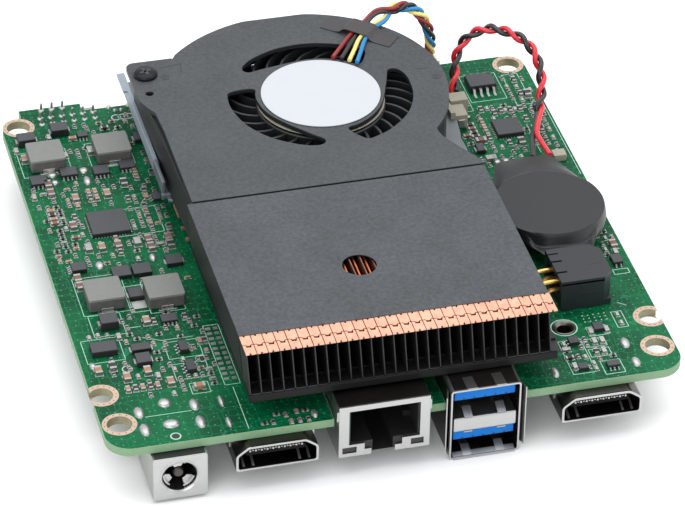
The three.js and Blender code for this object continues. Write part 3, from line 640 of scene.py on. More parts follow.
def make_board():
    loops = [board_outline()] + [circle(x, y, HOLE_R) for x, y in CORNER_HOLES]
    loops += [circle(x, y, 1.5, 20) for x, y in SCREW_HOLES] + [circle(*STANDOFF, 2.15, 32)]

    def mark(face, verts):
        x, y, _ = middle_of(face, verts)
        if extent_of(face, verts, 2) < 0.02:
            return 0
        near = [math.hypot(x - hx, y - hy) < HOLE_R + 0.4 for hx, hy in CORNER_HOLES]
        near += [math.hypot(x - nx, y - NOTCH["y"]) < 2.3 for nx in (1.8, 99.8)]
        return 2 if any(near) else 1

    Shape().plate(loops, UNDER, 0, 0.08, mark).done(
        "board_panel", "mask laminate hole_wall", slot="solder_mask", replaces=["circuit_board"])
    rings = Shape()
    for z0, z1 in ((0.0, 0.03), (UNDER - 0.03, UNDER)):
        for x, y in CORNER_HOLES:
            rings.plate([circle(x, y, RING_R, 48), circle(x, y, HOLE_R + 0.03, 48)], z0, z1)
            for spot_x, spot_y in circle(x, y, 2.58, 14):
                rings.prism(circle(spot_x, spot_y, DOT_R, 8), z0 - 0.005, z1 + 0.008, 1)
        for side, nx in ((1, 1.8), (-1, 99.8)):
            outer = arc(nx, NOTCH["y"], RING_R, -126, 126, 30)
            inner = arc(nx, NOTCH["y"], 2.03, 150, -150, 30)
            half = [(nx + side * (x - nx), y) for x, y in outer + inner]
            rings.plate([half], z0, z1)
            for k in range(11):
                a = math.radians(-115 + 23 * k)
                dot = circle(nx + side * 2.52 * math.cos(a), NOTCH["y"] + 2.52 * math.sin(a), DOT_R, 8)
                rings.prism(dot, z0 - 0.005, z1 + 0.008, 1)
    rings.done("hole_rings", "pad_ring via_dot")
    x, y = STANDOFF
    Shape().lathe([(1.25, -5.6), (2.9, -5.6), (2.9, -1.72), (2.05, -1.72), (2.05, -0.5), (2.05, 0.12),
                   (1.9, 0.2),
                   (1.6, 0.05), (1.25, -0.35)], x, y, 40).done(
        "card_standoff_turned", "dark_steel", slot="plated_steel", replaces=["card_standoff"])
    Shape().plate([circle(x, y, 2.42, 40), circle(x, y, 2.2, 40)], 0, 0.04).done("standoff_ring", "silk")


make_board()

# joints and plugs of solder: x, y, half width, half depth
SOLDER = [
    (7.0, 9.3, 0.8, 1.4), (16.6, 9.3, 0.8, 1.4), (11.8, 10.9, 1.05, 1.05), (11.7, 5.1, 1.3, 1.0),
    (7.0, 4.5, 0.8, 1.5), (16.6, 4.5, 0.8, 1.5), (21.2, 9.2, 0.45, 1.35), (21.2, 3.3, 0.45, 1.25),
    (93.1, 9.0, 0.75, 1.3), (93.3, 3.4, 0.7, 1.2), (78.8, 3.6, 0.6, 1.2), (35.8, 2.2, 0.5, 1.0),
    (6.3, 81.9, 0.85, 0.9), (12.2, 81.9, 0.85, 0.8), (6.3, 79.2, 0.7, 0.7), (12.2, 78.6, 0.7, 1.2),
    (9.1, 52.2, 0.75, 1.0), (18.8, 52.4, 0.6, 1.0), (2.0, 23.6, 0.55, 0.8), (87.1, 67.1, 0.65, 0.6),
    (88.8, 67.1, 0.65, 0.6), (87.1, 65.3, 0.65, 0.6), (88.8, 65.3, 0.65, 0.6), (20.9, 101.2, 0.5, 0.5),
    (24.6, 101.2, 0.45, 0.45), (21.8, 99.9, 0.35, 0.35), (23.0, 99.9, 0.35, 0.35),
]
VIAS = [(11.7, 1.7), (7.6, 21.6), (20.75, 21.6), (21.6, 97.8), (22.9, 97.8), (24.0, 97.8)]
# white printed outlines: x0, x1, y0, y1
OUTLINES = [
    (1.3, 7.9, 24.4, 31.0), (4.0, 9.6, 31.6, 37.8), (11.7, 15.2, 37.2, 45.0), (15.0, 21.2, 36.2, 45.6),
    (15.2, 21.2, 22.6, 27.4), (15.2, 21.2, 16.6, 21.0), (17.0, 20.2, 12.2, 15.2), (3.4, 12.0, 38.0, 49.2),
    (13.6, 22.6, 60.0, 68.2), (1.2, 10.2, 82.0, 90.0), (14.0, 22.0, 82.2, 90.4), (88.0, 95.0, 87.4, 96.4),
    (93.4, 95.3, 13.5, 18.1), (81.8, 85.9, 2.4, 11.9), (86.3, 90.0, 9.2, 11.5), (86.3, 90.0, 6.4, 8.6),
    (87.3, 90.8, 1.2, 4.9), (87.8, 91.4, 12.2, 14.8), (97.6, 100.4, 28.6, 30.0), (22.9, 25.6, 13.4, 30.6),
    (96.2, 99.2, 84.6, 95.2), (83.6, 87.6, 84.6, 90.0),
]
# white printed lines: x0, y0, x1, y1
LINES = [
    (7.8, 7.9, 15.8, 7.9), (24.1, 0.9, 24.1, 12.6), (101.1, 60.0, 101.1, 86.0), (9.6, 33.0, 12.4, 33.0),
    (12.0, 29.8, 15.0, 28.2), (15.0, 28.2, 20.6, 28.2), (95.4, 20.6, 96.8, 19.4), (83.2, 96.8, 83.2, 84.2),
    (96.0, 78.0, 96.0, 68.5),
]


def stroke(shape, ax, ay, bx, by, half, z0, z1):
    """A straight printed line from a to b, half as wide as half says to each side."""
    size = math.hypot(bx - ax, by - ay)
    nx, ny = -(by - ay) / size * half, (bx - ax) / size * half
    shape.prism([(ax + nx, ay + ny), (ax - nx, ay - ny), (bx - nx, by - ny), (bx + nx, by + ny)], z0, z1)


def make_print():
    dots = Shape()
    for x, y, rx, ry in SOLDER:
        dots.blob(x, y, rx * 1.15, ry * 1.15, 0.55)
    for row, xs in ((103.3, (8.4, 10.4, 12.4)), (100.6, (7.7, 9.7, 11.8, 13.8, 15.8, 17.8)),
                    (98.6, (7.7, 9.7, 11.8, 13.8, 15.8, 17.8))):
        for x in xs:
            dots.blob(x, row, 0.6, 0.6, 0.3)
            dots.tube([(x, row, 0), (x, row, 1.0), (x + 0.05, row, 1.5)], 0.24, 8)
    for k in range(15):
        dots.blob(88.2 + (k % 5) * 1.0, 16.4 + (k // 5) * 0.9, 0.17, 0.17, 0.1)
    for y in spaced(29.5, -1.45, 11):
        dots.box(23.1, 24.0, y - 0.35, y + 0.35, 0, 0.12)
        dots.box(24.5, 25.3, y - 0.35, y + 0.35, 0, 0.12)
    dots.done("solder_joints", "solder")
    silk = Shape()
    w = 0.065
    for x0, x1, y0, y1 in OUTLINES:
        silk.box(x0, x1, y0 - w, y0 + w, 0, 0.015)
        silk.box(x0, x1, y1 - w, y1 + w, 0, 0.015)
        silk.box(x0 - w, x0 + w, y0, y1, 0, 0.012)
        silk.box(x1 - w, x1 + w, y0, y1, 0, 0.012)
    for line in LINES:
        stroke(silk, *line, w, 0, 0.017)
    for x, y in VIAS:
        silk.plate([circle(x, y, 0.95, 24), circle(x, y, 0.72, 24)], 0, 0.02)
    silk.done("printed_marks", "silk")
    # Each hole is a dark disc laid on the board: painted shade standing in for the open hole.
    holes = Shape()
    for x, y in VIAS:
        holes.lathe([(0, 0), (0.7, 0.0), (0.7, 0.03), (0.45, 0.012), (0, 0.01)], x, y, 20)
    holes.done("holes_as_painted_shade", "resistor")


make_print()

# small chip parts: x, y, long way (v or h), size, tone
SIZES = {"S": (1.0, 0.55, 0.4), "M": (1.5, 0.8, 0.6), "L": (2.0, 1.25, 0.9)}
TONES = {"k": 1, "t": 2, "b": 3, "w": 4}
SMALL = """
4.4 48.6 v L b|4.4 46.3 v L b|2.6 21.7 v L t|5.2 22.4 v L k|7.0 18.8 v L t|10.8 19.8 v L t
12.3 18.2 v M w|6.5 15.7 v M t|7.8 15.7 v M k|9.1 15.7 v M t|10.4 15.7 v M k|11.7 15.7 v M t
14.0 15.9 v L t|15.9 16.7 v S k|15.9 15.3 v S k|15.9 13.9 v S k|18.5 13.7 h L t|17.4 17.0 v S k
18.6 17.0 v S w|19.8 17.0 v S k|21.3 18.4 h S w|21.3 17.0 h S k|21.3 15.6 h S w|21.3 14.2 h S k
13.6 33.8 v L t|14.9 33.6 v M k|20.4 33.8 v M k|21.4 26.3 v M t|22.3 26.3 v M k|3.0 31.6 v S w
4.6 31.9 v S w|6.2 31.6 v S w|8.0 30.6 v M w|1.7 75.2 v M w|4.9 78.4 v L b|4.9 75.6 v L b|1.3 90.6 v M w
8.0 93.6 v M w|12.2 92.4 h M t|2.3 87.4 v L t|9.9 87.2 v M w|14.6 87.4 v L w|12.3 88.2 v S k
12.3 86.6 v S k|18.7 94.5 h M k|21.2 94.4 h S k|13.4 96.4 v S k|15.2 96.4 v S k|21.2 79.3 v M b
21.2 77.4 v M b|18.5 76.0 v L k|8.9 73.0 v L t|8.9 70.9 v M t|11.6 74.6 v M t|12.8 74.6 v M t
11.6 72.6 v M k|12.8 72.6 v M t|14.8 73.2 v L t|14.7 75.9 v S k|21.6 73.0 v M k|21.6 71.0 v M t
18.2 71.0 v M k|24.2 82.1 v M w|24.2 78.4 v M k|3.8 70.2 h M t|3.8 68.9 h M k|3.8 67.6 h M t
3.8 66.3 h M b|5.4 70.2 h S k|5.4 68.9 h S k|5.4 67.6 h S w|5.4 66.3 h S k|6.8 64.6 v L b|7.6 67.4 v M k
6.6 61.2 h M b|4.3 64.2 h S k|4.3 62.9 h S k|4.3 61.6 h S k|4.3 60.3 h S w|4.3 59.0 h S k|6.1 59.4 h S k
6.1 58.1 h S t|19.2 67.2 v S k|19.2 65.6 v S t|19.2 64.0 v S k|19.2 62.4 v S k|20.6 68.2 v M k
20.6 66.4 v M b|20.6 64.6 v M k|20.6 62.8 v M t|20.6 61.0 v S k|22.8 67.4 v S k|22.8 65.8 v S k
22.8 64.2 v S w|17.6 63.8 v S k|17.6 62.2 v S w|23.6 61.0 v M k|23.6 59.0 v M k|8.1 57.2 v L w
10.5 57.0 v L t|13.5 59.2 v M b|13.5 57.0 v L b|13.5 55.0 v M k|17.0 57.2 v L w|19.1 57.6 v L b
19.1 55.2 v L b|20.9 55.9 h M w|22.7 57.4 v L b|22.7 55.2 v L k|7.3 54.5 v S k|7.4 52.9 v S k
16.2 52.6 v S w|82.6 10.8 v S w|82.5 9.1 h M w|82.4 6.8 h M k|82.6 4.3 v M w|85.3 9.4 v S k
85.2 6.6 v S w|88.0 10.4 v M w|89.4 10.4 v M w|87.4 7.5 v M k|88.8 7.5 v M w|86.1 4.6 v S w
86.1 3.0 v S w|88.2 13.2 v M w|91.1 13.2 v M w|94.3 17.0 v S w|94.3 14.6 v S w|99.2 39.4 v S w
99.9 37.0 v L b|98.2 37.8 v S k|98.2 36.0 v S w|99.7 34.9 v M w|97.9 92.9 v M k|97.8 90.6 v S w
97.8 88.0 v M k|99.0 87.5 v L k|97.6 86.0 v S w|88.9 84.4 v M k|90.2 84.6 v S w|91.2 84.7 v S k
91.1 82.7 v M k|92.5 83.3 v M k|93.4 83.3 v S w|94.3 83.1 v M k|95.3 83.3 v S w|96.2 83.1 v M k
97.3 84.0 v S k|85.5 79.8 h M k|85.5 78.5 h M b|85.5 77.2 h M k|85.5 75.9 h M k|87.9 82.2 v S k
87.9 80.4 v M b|87.9 78.5 v M t|87.9 76.6 v M b|87.9 74.8 v M k|84.0 76.4 h M b|86.0 74.2 h L b
86.2 68.1 h L w|87.8 72.6 v S k|87.8 71.0 v S k|89.4 71.6 v S w|91.1 72.4 v M k|93.3 72.2 v L k
93.3 69.8 v S k|98.2 82.2 v S k|98.2 80.4 v S k|98.4 78.4 v S w|99.7 79.2 v S k|99.7 77.4 v S k
99.7 75.4 v S w|98.2 75.6 v M k|98.2 73.4 v S k|99.6 72.6 v S w|98.2 71.2 v S k|99.6 70.2 v S k
91.0 69.6 v S k|92.0 67.8 v S w|90.2 67.6 v S k|84.9 82.6 v S k|96.4 79.6 v M k
"""


# crowded patches: x0, x1, y0, y1, parts
PATCHES = [
    (2.4, 8.6, 56.0, 73.5, 26), (17.4, 24.2, 56.0, 76.5, 30), (2.0, 24.2, 53.8, 59.0, 16),
    (2.0, 16.5, 70.5, 79.0, 20), (11.0, 24.2, 83.0, 98.0, 20), (9.0, 22.5, 12.8, 34.0, 34),
    (2.0, 9.0, 14.0, 25.0, 8), (9.2, 24.0, 44.0, 53.0, 10), (82.2, 91.2, 1.6, 13.0, 20),
    (84.0, 100.2, 66.0, 86.0, 46), (84.0, 91.0, 62.0, 70.0, 8), (97.6, 100.4, 30.0, 42.0, 8),
    (95.6, 100.2, 84.0, 95.0, 12), (24.5, 37.8, 0.8, 3.6, 12), (2.0, 23.0, 34.0, 45.0, 10),
]


def small_parts():
    """The listed parts, then a seeded scatter on a half-millimetre grid in the crowded patches."""
    placed = []
    for entry in SMALL.replace("\n", "|").strip("|").split("|"):
        x, y, way, size, tone = entry.split()
        placed.append((float(x), float(y), way, size, tone))
    keep_out = [(x0 - 0.7, x1 + 0.7, y0 - 0.9, y1 + 0.9) for x0, x1, y0, y1, *_ in PACKAGES]
    keep_out += [(x - 4.0, x + 4.0, y - 4.2, y + 4.2) for x, y in COILS]
    keep_out += [(9.0, 17.2, 60.0, 68.1), (88.8, 95.2, 73.8, 80.2), (88.2, 95.0, 87.6, 96.8),
                 (83.0, 88.0, 78.8, 88.0),
                 (79.5, 96.3, 20.0, 62.0), (81.4, 87.0, 13.0, 18.4),
                 (0.0, 5.6, 11.9, 18.9)]
    keep_out += [(x - rx - 0.5, x + rx + 0.5, y - ry - 0.5, y + ry + 0.5) for x, y, rx, ry in SOLDER]
    random.seed(31)
    for x0, x1, y0, y1, count in PATCHES:
        for _ in range(count * 3):
            x, y = (round(random.uniform(a, b) * 2) / 2 for a, b in ((x0, x1), (y0, y1)))
            if any(a < x < b and c < y < d for a, b, c, d in keep_out):
                continue
            if any(abs(x - px) < 1.15 and abs(y - py) < 1.25 for px, py, *_ in placed):
                continue
            placed.append((x, y, random.choice("vvvh"), "S", random.choice("kkkkkwtb")))
    return placed


def make_small_parts():
    shape = Shape()
    for x, y, way, size, tone in small_parts():
        length, width, high = SIZES[size]
        a, b = length / 2, width / 2
        cap = length * 0.24
        spans = [(-a + cap, a - cap, -b * 0.96, b * 0.96), (-a, -a + cap, -b, b), (a - cap, a, -b, b)]
        if way == "v":
            spans = [(p, q, m, n) for m, n, p, q in spans]
        middle, *ends = [(x + m, x + n, y + p, y + q) for m, n, p, q in spans]
        shape.box(*middle, 0.04, high * 0.97, TONES[tone])
        for x0, x1, y0, y1 in ends:
            shape.box(x0, x1, y0, y1, 0.02, high)
            shape.box(x0 - 0.14, x1 + 0.14, y0 - 0.14, y1 + 0.14, 0, 0.1)
    shape.done("chip_parts", "tin resistor ceramic brown tin", bevel=0.06, segments=2)


COILS = [(5.95, 86.0), (18.3, 86.0), (7.7, 41.7), (18.1, 40.2)]

# moulded packages: x0, x1, y0, y1, height, sides with leads, leads on each
PACKAGES = [
    (1.9, 5.0, 78.4, 81.2, 0.9, "f", 4), (7.7, 10.8, 80.0, 82.6, 0.9, "f", 4),
    (13.7, 16.6, 79.2, 81.9, 0.9, "f", 4), (18.7, 21.6, 80.0, 82.6, 0.9, "f", 4),
    (2.0, 5.3, 91.8, 94.4, 1.6, "", 0), (8.6, 11.8, 93.7, 96.4, 1.6, "", 0),
    (13.2, 15.1, 92.0, 93.6, 0.8, "f", 3), (10.6, 13.9, 47.2, 50.2, 0.9, "b", 5),
    (14.3, 17.6, 47.2, 50.2, 0.9, "b", 5), (20.7, 23.6, 48.8, 51.6, 0.9, "", 0),
    (3.9, 6.5, 50.6, 53.0, 0.9, "l", 4), (12.1, 14.7, 40.5, 43.2, 1.0, "", 0),
    (5.5, 8.6, 33.0, 35.9, 1.8, "", 0), (2.4, 6.9, 25.8, 28.7, 1.3, "b", 4),
    (9.3, 12.7, 25.4, 27.3, 0.9, "", 0), (9.4, 12.0, 21.4, 24.2, 1.2, "", 0),
    (17.4, 19.0, 23.5, 26.3, 1.0, "lr", 3), (17.4, 19.0, 17.8, 20.6, 1.0, "lr", 3),
    (16.1, 19.0, 32.5, 34.7, 0.8, "fb", 4), (23.3, 24.8, 88.4, 91.0, 0.9, "", 0),
    (83.5, 85.3, 10.2, 12.0, 0.8, "lr", 2), (88.0, 90.2, 2.5, 4.0, 0.8, "fb", 3),
    (88.9, 90.7, 13.0, 15.0, 0.8, "", 0), (83.0, 84.7, 2.9, 4.4, 0.8, "lr", 2),
    (98.1, 99.9, 31.0, 33.6, 0.9, "f", 2), (85.2, 86.6, 86.0, 88.2, 0.8, "lr", 3),
    (84.4, 85.9, 70.4, 72.9, 0.9, "", 0), (85.4, 87.0, 59.8, 61.6, 1.0, "", 0),
    (96.9, 98.6, 75.9, 77.2, 0.7, "", 0), (22.6, 24.0, 69.2, 71.4, 0.7, "lr", 3),
]


LEAD_REACH, LEAD_HALF_WIDTH = 0.7, 0.15


def leads(shape, x0, x1, y0, y1, high, sides, count):
    """Bent leads: out of the body at half height, then down to the board."""
    for side in sides:
        span = (x0, x1) if side in "fb" else (y0, y1)
        edge = {"f": y0, "b": y1, "l": x0, "r": x1}[side]
        out = (-1 if side in "fl" else 1) * LEAD_REACH
        for k in range(count):
            c = span[0] + (span[1] - span[0]) * (k + 0.5) / count
            width = (c - LEAD_HALF_WIDTH, c + LEAD_HALF_WIDTH)
            for near, far, z0, z1 in ((0, 0.45, 0.1, high * 0.5), (0.3, 1, 0.01, 0.16)):
                depth = sorted((edge + out * near, edge + out * far))
                across = (*width, *depth) if side in "fb" else (*depth, *width)
                shape.box(*across, z0, z1, 2)


make_small_parts()


def make_packages():
    shape = Shape()
    for x0, x1, y0, y1, high, sides, count in PACKAGES:
        shape.box(x0, x1, y0, y1, 0.05, high * 0.92, 1)
        shape.box(x0 + 0.04, x1 - 0.04, y0 + 0.04, y1 - 0.04, high * 0.9, high)
        leads(shape, x0, x1, y0, y1, high, sides, count)
        if not sides:
            for a, b in ((x0 - 0.35, x0 + 0.05), (x1 - 0.05, x1 + 0.35)):
                shape.box(a, b, (y0 + y1) / 2 - 0.7, (y0 + y1) / 2 + 0.7, 0.0, high * 0.45, 2)
    shape.box(12.2, 14.7, 37.9, 40.1, 0, 0.25, 2)
    shape.box(97.4, 99.8, 64.8, 66.9, 0.05, 1.4, 3)
    shape.done("small_packages", "chip chip_side solder cream", bevel=0.05)


def chip_body(x, y, width, depth, high):
    """A moulded block whose top is a little smaller and paler than its sides."""
    body = Shape()
    a, b, rim = width / 2, depth / 2, 0.05
    body.box(x - a, x + a, y - b, y + b, 0.12, high * 0.85, 1)
    return body.box(x - a + rim, x + a - rim, y - b + rim, y + b - rim, high * 0.85, high)


def edge_pads(body, x, y, count, reach, half, fronts, sides):
    """Flat pads along all four edges; each pair in fronts and sides says where a pad starts and ends."""
    for c in spaced(-reach, 2 * reach / (count - 1), count):
        for near, far in fronts:
            body.box(x + c - half, x + c + half, y + near, y + far, 0.0, 0.16, 2)
        for near, far in sides:
            body.box(x + near, x + far, y + c - half, y + c + half, 0.0, 0.16, 2)


def make_chips():
    controller = chip_body(13.1, 64.0, 7.0, 7.0, 0.95)
    pads = ((-3.8, -3.1), (3.1, 3.8))
    edge_pads(controller, 13.1, 64.0, 12, 3.0, 0.12, pads, pads)
    controller.done("power_controller_package", "chip chip_side tin", bevel=0.07, slot="chip_black",
                    replaces=["power_controller"])
    sound = chip_body(92.0, 77.0, 5.1, 5.1, 1.0)
    edge_pads(sound, 92.0, 77.0, 9, 2.2, 0.1, ((-3.0, -2.3), (2.4, 3.0)), ((-3.0, -2.4), (2.4, 3.0)))
    sound.done("sound_chip_package", "chip chip_side tin", bevel=0.06, slot="chip_black",
               replaces=["sound_chip"])
    memory = chip_body(91.15, 92.5, 5.1, 4.2, 1.6)
    for c in spaced(89.25, 1.28, 4):
        for out in (-1, 1):
            edge = 92.5 + out * 2.1
            profile = [(edge - out * 0.1, 0.95), (edge + out * 0.55, 0.9), (edge + out * 1.0, 0.2),
                       (edge + out * 2.0, 0.14)]
            band = [(a, b + 0.11) for a, b in profile] + [(a, b - 0.11) for a, b in reversed(profile)]
            memory.prism(band, c - 0.23, c + 0.23, 2, axis="x")
    memory.prism(circle(93.2, 94.0, 0.28, 16), 1.6, 1.605, 1)
    memory.done("memory_chip_package", "chip chip_side solder", bevel=0.08, slot="chip_black",
                replaces=["memory_chip"])


def make_coils():
    for i, (x, y) in enumerate(COILS):
        body = Shape()
        # The body under the top cap takes the darker ferrite: painted shade on the sides.
        body.prism(rounded(x - 3.2, x + 3.2, y - 3.15, y + 3.15, 0.35, 3), 0.25, 2.35, 1)
        body.prism(rounded(x - 3.25, x + 3.25, y - 3.2, y + 3.2, 0.4, 4), 2.3, 2.8)
        for out in (-1, 1):
            a, b = sorted((y + out * 2.9, y + out * 3.45))
            body.box(x - 1.1, x + 1.1, a, b, 0.0, 0.9, 2)
            body.box(x - 1.7, x + 1.7, a - 0.25, b + 0.25, 0.0, 0.15, 2)
        body.done(f"inductor_{i + 1}_body", "ferrite ferrite_side tin", bevel=0.12, slot="ferrite",
                  replaces=[f"inductor_{i + 1}"])


make_packages()
make_chips()
make_coils()


# ------------------------------------------------------------------ heat sink
FIN = {"x0": 24.0, "count": 28, "pitch": 1.95, "sheet": 0.2, "z0": 5.6, "z1": 14.22, "lean": 0.7}
FIN_ROW = [FIN["x0"] + FIN["pitch"] * i for i in range(FIN["count"])]
FIN_Y = (2.6, 46.6)
STRIP = (2.6, 7.75)  # the bare copper tops, from front to back
SEAM = 5.2  # where the front and back rows of folded tabs meet
COVER_HOLE = (48.8, 22.72, 2.98)


def make_heat_sink():
    Shape().box(24.7, 78.7, 2.5, 47.0, 4.0, 5.5).done(
        "heat_sink_base_plate", "base", bevel=0.15, slot="coated_base", replaces=["heat_sink_base"])
    fins = Shape()
    lean = FIN["lean"]
    for x in FIN_ROW:
        fins.box(x + lean, x + lean + FIN["sheet"], FIN_Y[0], FIN_Y[1], FIN["z0"], FIN["z1"] - 0.1, 0, -lean)
        fins.box(x + lean, x + lean + FIN["pitch"] - 0.05, FIN_Y[0], FIN_Y[1], FIN["z0"], FIN["z0"] + 0.2)
        # folded catch a little behind the front edge, near the base
        fins.box(x + lean * 0.85, x + lean * 0.85 + FIN["pitch"], 5.5, 5.9, FIN["z0"] + 0.2, FIN["z0"] + 0.55)
    fins.done("fins", "fin", slot="copper", replaces=["fin_stack"])
    make_fin_flanges()
    make_fin_cover()


def make_fin_flanges():
    """The tops of the fins are folded over into two rows of interlocking tabs, each a little tilted."""
    tops = Shape()
    random.seed(11)
    y0, y1 = STRIP
    for x in FIN_ROW:
        end = x + 1.6 if x == FIN_ROW[-1] else x + FIN["pitch"] - 0.13
        tilt = random.uniform(-0.05, 0.05)
        z = FIN["z1"] - 0.12
        top = FIN["z1"] + 0.13 + random.uniform(-0.02, 0.02)
        mid = x + (end - x) * 0.5

        def flange(points):
            upper = [(px, py, top + tilt * (px - mid)) for px, py in points]
            tops.pair([(px, py, z) for px, py in points], upper)

        slot = 0.42
        flange([(x, y0), (x + 0.62, y0), (x + 0.66, y0 + slot), (x + 0.9, y0 + slot), (x + 0.94, y0),
                (end, y0),
                (end, SEAM - 0.16), (x + 1.5, SEAM - 0.12), (x + 1.35, SEAM - 0.8), (x + 0.55, SEAM - 0.72),
                (x + 0.45, SEAM - 0.12), (x, SEAM - 0.2)])
        flange([(x, SEAM + 0.02), (x + 0.45, SEAM + 0.06), (x + 0.7, SEAM - 0.24), (x + 1.2, SEAM - 0.3),
                (x + 1.45, SEAM + 0.04), (end, SEAM + 0.08), (end, y1), (x + 0.94, y1), (x + 0.9, y1 - slot),
                (x + 0.66, y1 - slot), (x + 0.62, y1), (x, y1)])
    tops.done("fin_flanges", "copper", bevel=0.03, slot="copper")


def make_fin_cover():
    Shape().box(24.1, 77.6, STRIP[0] + 0.6, STRIP[1] - 0.6, 13.6, 13.9).done("fin_gap_shade", "resistor")
    deep = Shape()
    for x in FIN_ROW:
        if abs(x - COVER_HOLE[0]) < 4.5:
            deep.box(x + 0.12, x + 0.4, 18.5, 27.0, 11.0, 14.1, 0, -0.1)
            deep.box(x + 0.95, x + 1.2, 18.5, 27.0, 12.6, 13.6)
    deep.done("fins_under_hole", "fin_deep", slot="copper")
    end = FIN_ROW[-1] + FIN["sheet"] + 1.3
    film = [(FIN["x0"] - 0.05, 7.7), (end, 7.7), (end + 0.02, 47.0), (FIN["x0"] - 0.05, 47.0)]
    Shape().plate([film, circle(*COVER_HOLE, 56)], 14.3, 14.5, 0.05).done(
        "fin_cover_film", "film", slot="grey_lid", replaces=["fin_cover"])
    # the film is folded down over the left-hand fin
    Shape().prism([(23.9, 14.4), (24.6, 5.7), (24.72, 5.7), (24.05, 14.4)], 7.9, 47.0, axis="y").done(
        "fin_cover_side", "wall")


make_heat_sink()


# ------------------------------------------------------------------ blower
BLOWER_BACK = 102.9
COVER_LOW, COVER_TOP = 13.5, 14.5
EAR_SCREW = (25.5, 88.95)
BLADES = 29
BLADE_ROOT, BLADE_TIP = 11.6, 20.7


def around(x, y, r, degrees):
    return x + r * math.cos(math.radians(degrees)), y + r * math.sin(math.radians(degrees))


def scroll_radius(angle):
    return min(23.5 + 0.042 * max(0, angle + 10), 30.2)


def scroll(start, end, steps):
    """The cover's growing round edge, cut off straight at the back."""
    points = []
    for i in range(steps + 1):
        angle = start + (end - start) * i / steps
        x, y = around(*HUB, scroll_radius(angle), angle)
        points.append((x, min(y, BLOWER_BACK)))
    return points


CRESCENT = [
    (17.0, 6), (17.0, 20), (17.0, 40), (17.0, 60), (17.0, 78), (16.85, 88), (16.4, 92.4), (15.7, 94.3),
    (14.9, 94.0), (14.3, 91.6), (13.3, 84), (12.3, 74), (11.75, 62), (11.6, 45), (11.7, 30), (11.85, 15),
    (11.95, 4), (11.9, -2), (12.4, -5), (13.6, -4.3), (15.3, -1.6), (16.7, 1.4),
]


def crescent(start):
    points = [around(HUB[0], HUB[1] + 0.2, r, start + a) for r, a in CRESCENT]
    return smooth_pairs(points, 4, closed=True)


def rounded_edge(face, verts):
    """The cover's flat top is one tone, and all that lies below it another."""
    return 0 if middle_of(face, verts)[2] > 14.33 else 1


def make_blower_cover():
    outline = ([(25.0, 47.55), (78.2, 47.55), (78.3, 48.5), (77.0, 50.8), (75.0, 54.5), (73.5, 57.5),
                (73.2, 59.0)]
               + scroll(-41, 141, 70) + [(31.6, 93.4), (31.2, 93.6)] + arc(24.1, 92.1, 1.5, 90, 180, 6)
               + [(22.6, 86.0), (22.7, 81.0), (23.6, 78.6), (24.7, 76.5), (25.0, 70.5)])
    Shape().plate([outline] + [crescent(a) for a in (-75, 45, 165)]
                  + [circle(*EAR_SCREW, 1.25, 20), circle(25.0, 82.9, 0.75, 16)],
                  COVER_LOW, COVER_TOP, 0.12, mark=rounded_edge).done(
        "blower_cover_plate", "lid lid_edge", slot="grey_lid", replaces=["blower_cover"])
    marks = Shape()
    for mx, my in ((28.9, 87.4), (77.6, 76.4)):
        marks.plate([circle(mx, my, 0.8, 20), circle(mx, my, 0.68, 20)], COVER_TOP, COVER_TOP + 0.02)
        marks.plate([circle(mx, my, 0.4, 14), circle(mx, my, 0.3, 14)], COVER_TOP, COVER_TOP + 0.02)
    for line in ((28.5, 90.6, 32.6, 91.4), (32.6, 91.4, 32.2, 88.2), (74.4, 79.8, 76.8, 79.6)):
        stroke(marks, *line, 0.08, COVER_TOP, COVER_TOP + 0.015)
    marks.done("cover_marks", "lid_edge")


def make_motor():
    x, y = HUB
    Shape().lathe([(0, 14.55), (10.85, 14.55), (10.95, 14.6), (10.95, 14.72), (10.85, 14.78), (0, 14.78)],
                  x, y, 96).done(
        "hub_label_disc", "label", slot="white_label", replaces=["hub_label"])
    rim = [(11.0, 13.15), (11.72, 13.15), (11.78, 13.25), (11.72, 13.35), (11.0, 13.35)]
    Shape().lathe(rim, x, y, 80).done("motor_rim", "cream")
    board = Shape().lathe([(2.7, 12.2), (8.8, 12.2), (8.8, 12.9), (2.7, 12.9)], x, y, 48)
    board.done("motor_board", "package")
    keep("stator", "fin_deep", 0.1)
    keep("bearing_sleeve", "brass", 0.05)
    keep("motor_shaft", "steel", 0.05)


def make_impeller():
    x, y = HUB
    rotor = Shape()
    rotor.lathe([(0, 5.9), (11.7, 5.9), (11.9, 6.1), (11.9, 12.5), (11.7, 12.7), (11.1, 12.7), (11.0, 12.5),
                 (11.0, 6.8),
                 (0, 6.8)], x, y, 72)
    for i in range(BLADES):
        start = 360 / BLADES * i
        side = {-1: [], 1: []}
        for k in range(9):
            t = k / 8
            r = BLADE_ROOT + (BLADE_TIP - BLADE_ROOT) * t
            thick = 0.2 + 0.12 * math.sin(math.pi * t)
            for s in side:
                a = math.radians(start - 26 * t * t - 8 * t) + s * thick / r
                side[s].append((x + r * math.cos(a), y + r * math.sin(a)))
        rotor.prism(side[-1] + side[1][::-1], 6.2, 12.4)
    rotor.done("impeller_wheel", "blade", body="rotor", bevel=0.06, slot="impeller_plastic",
               replaces=["impeller"])


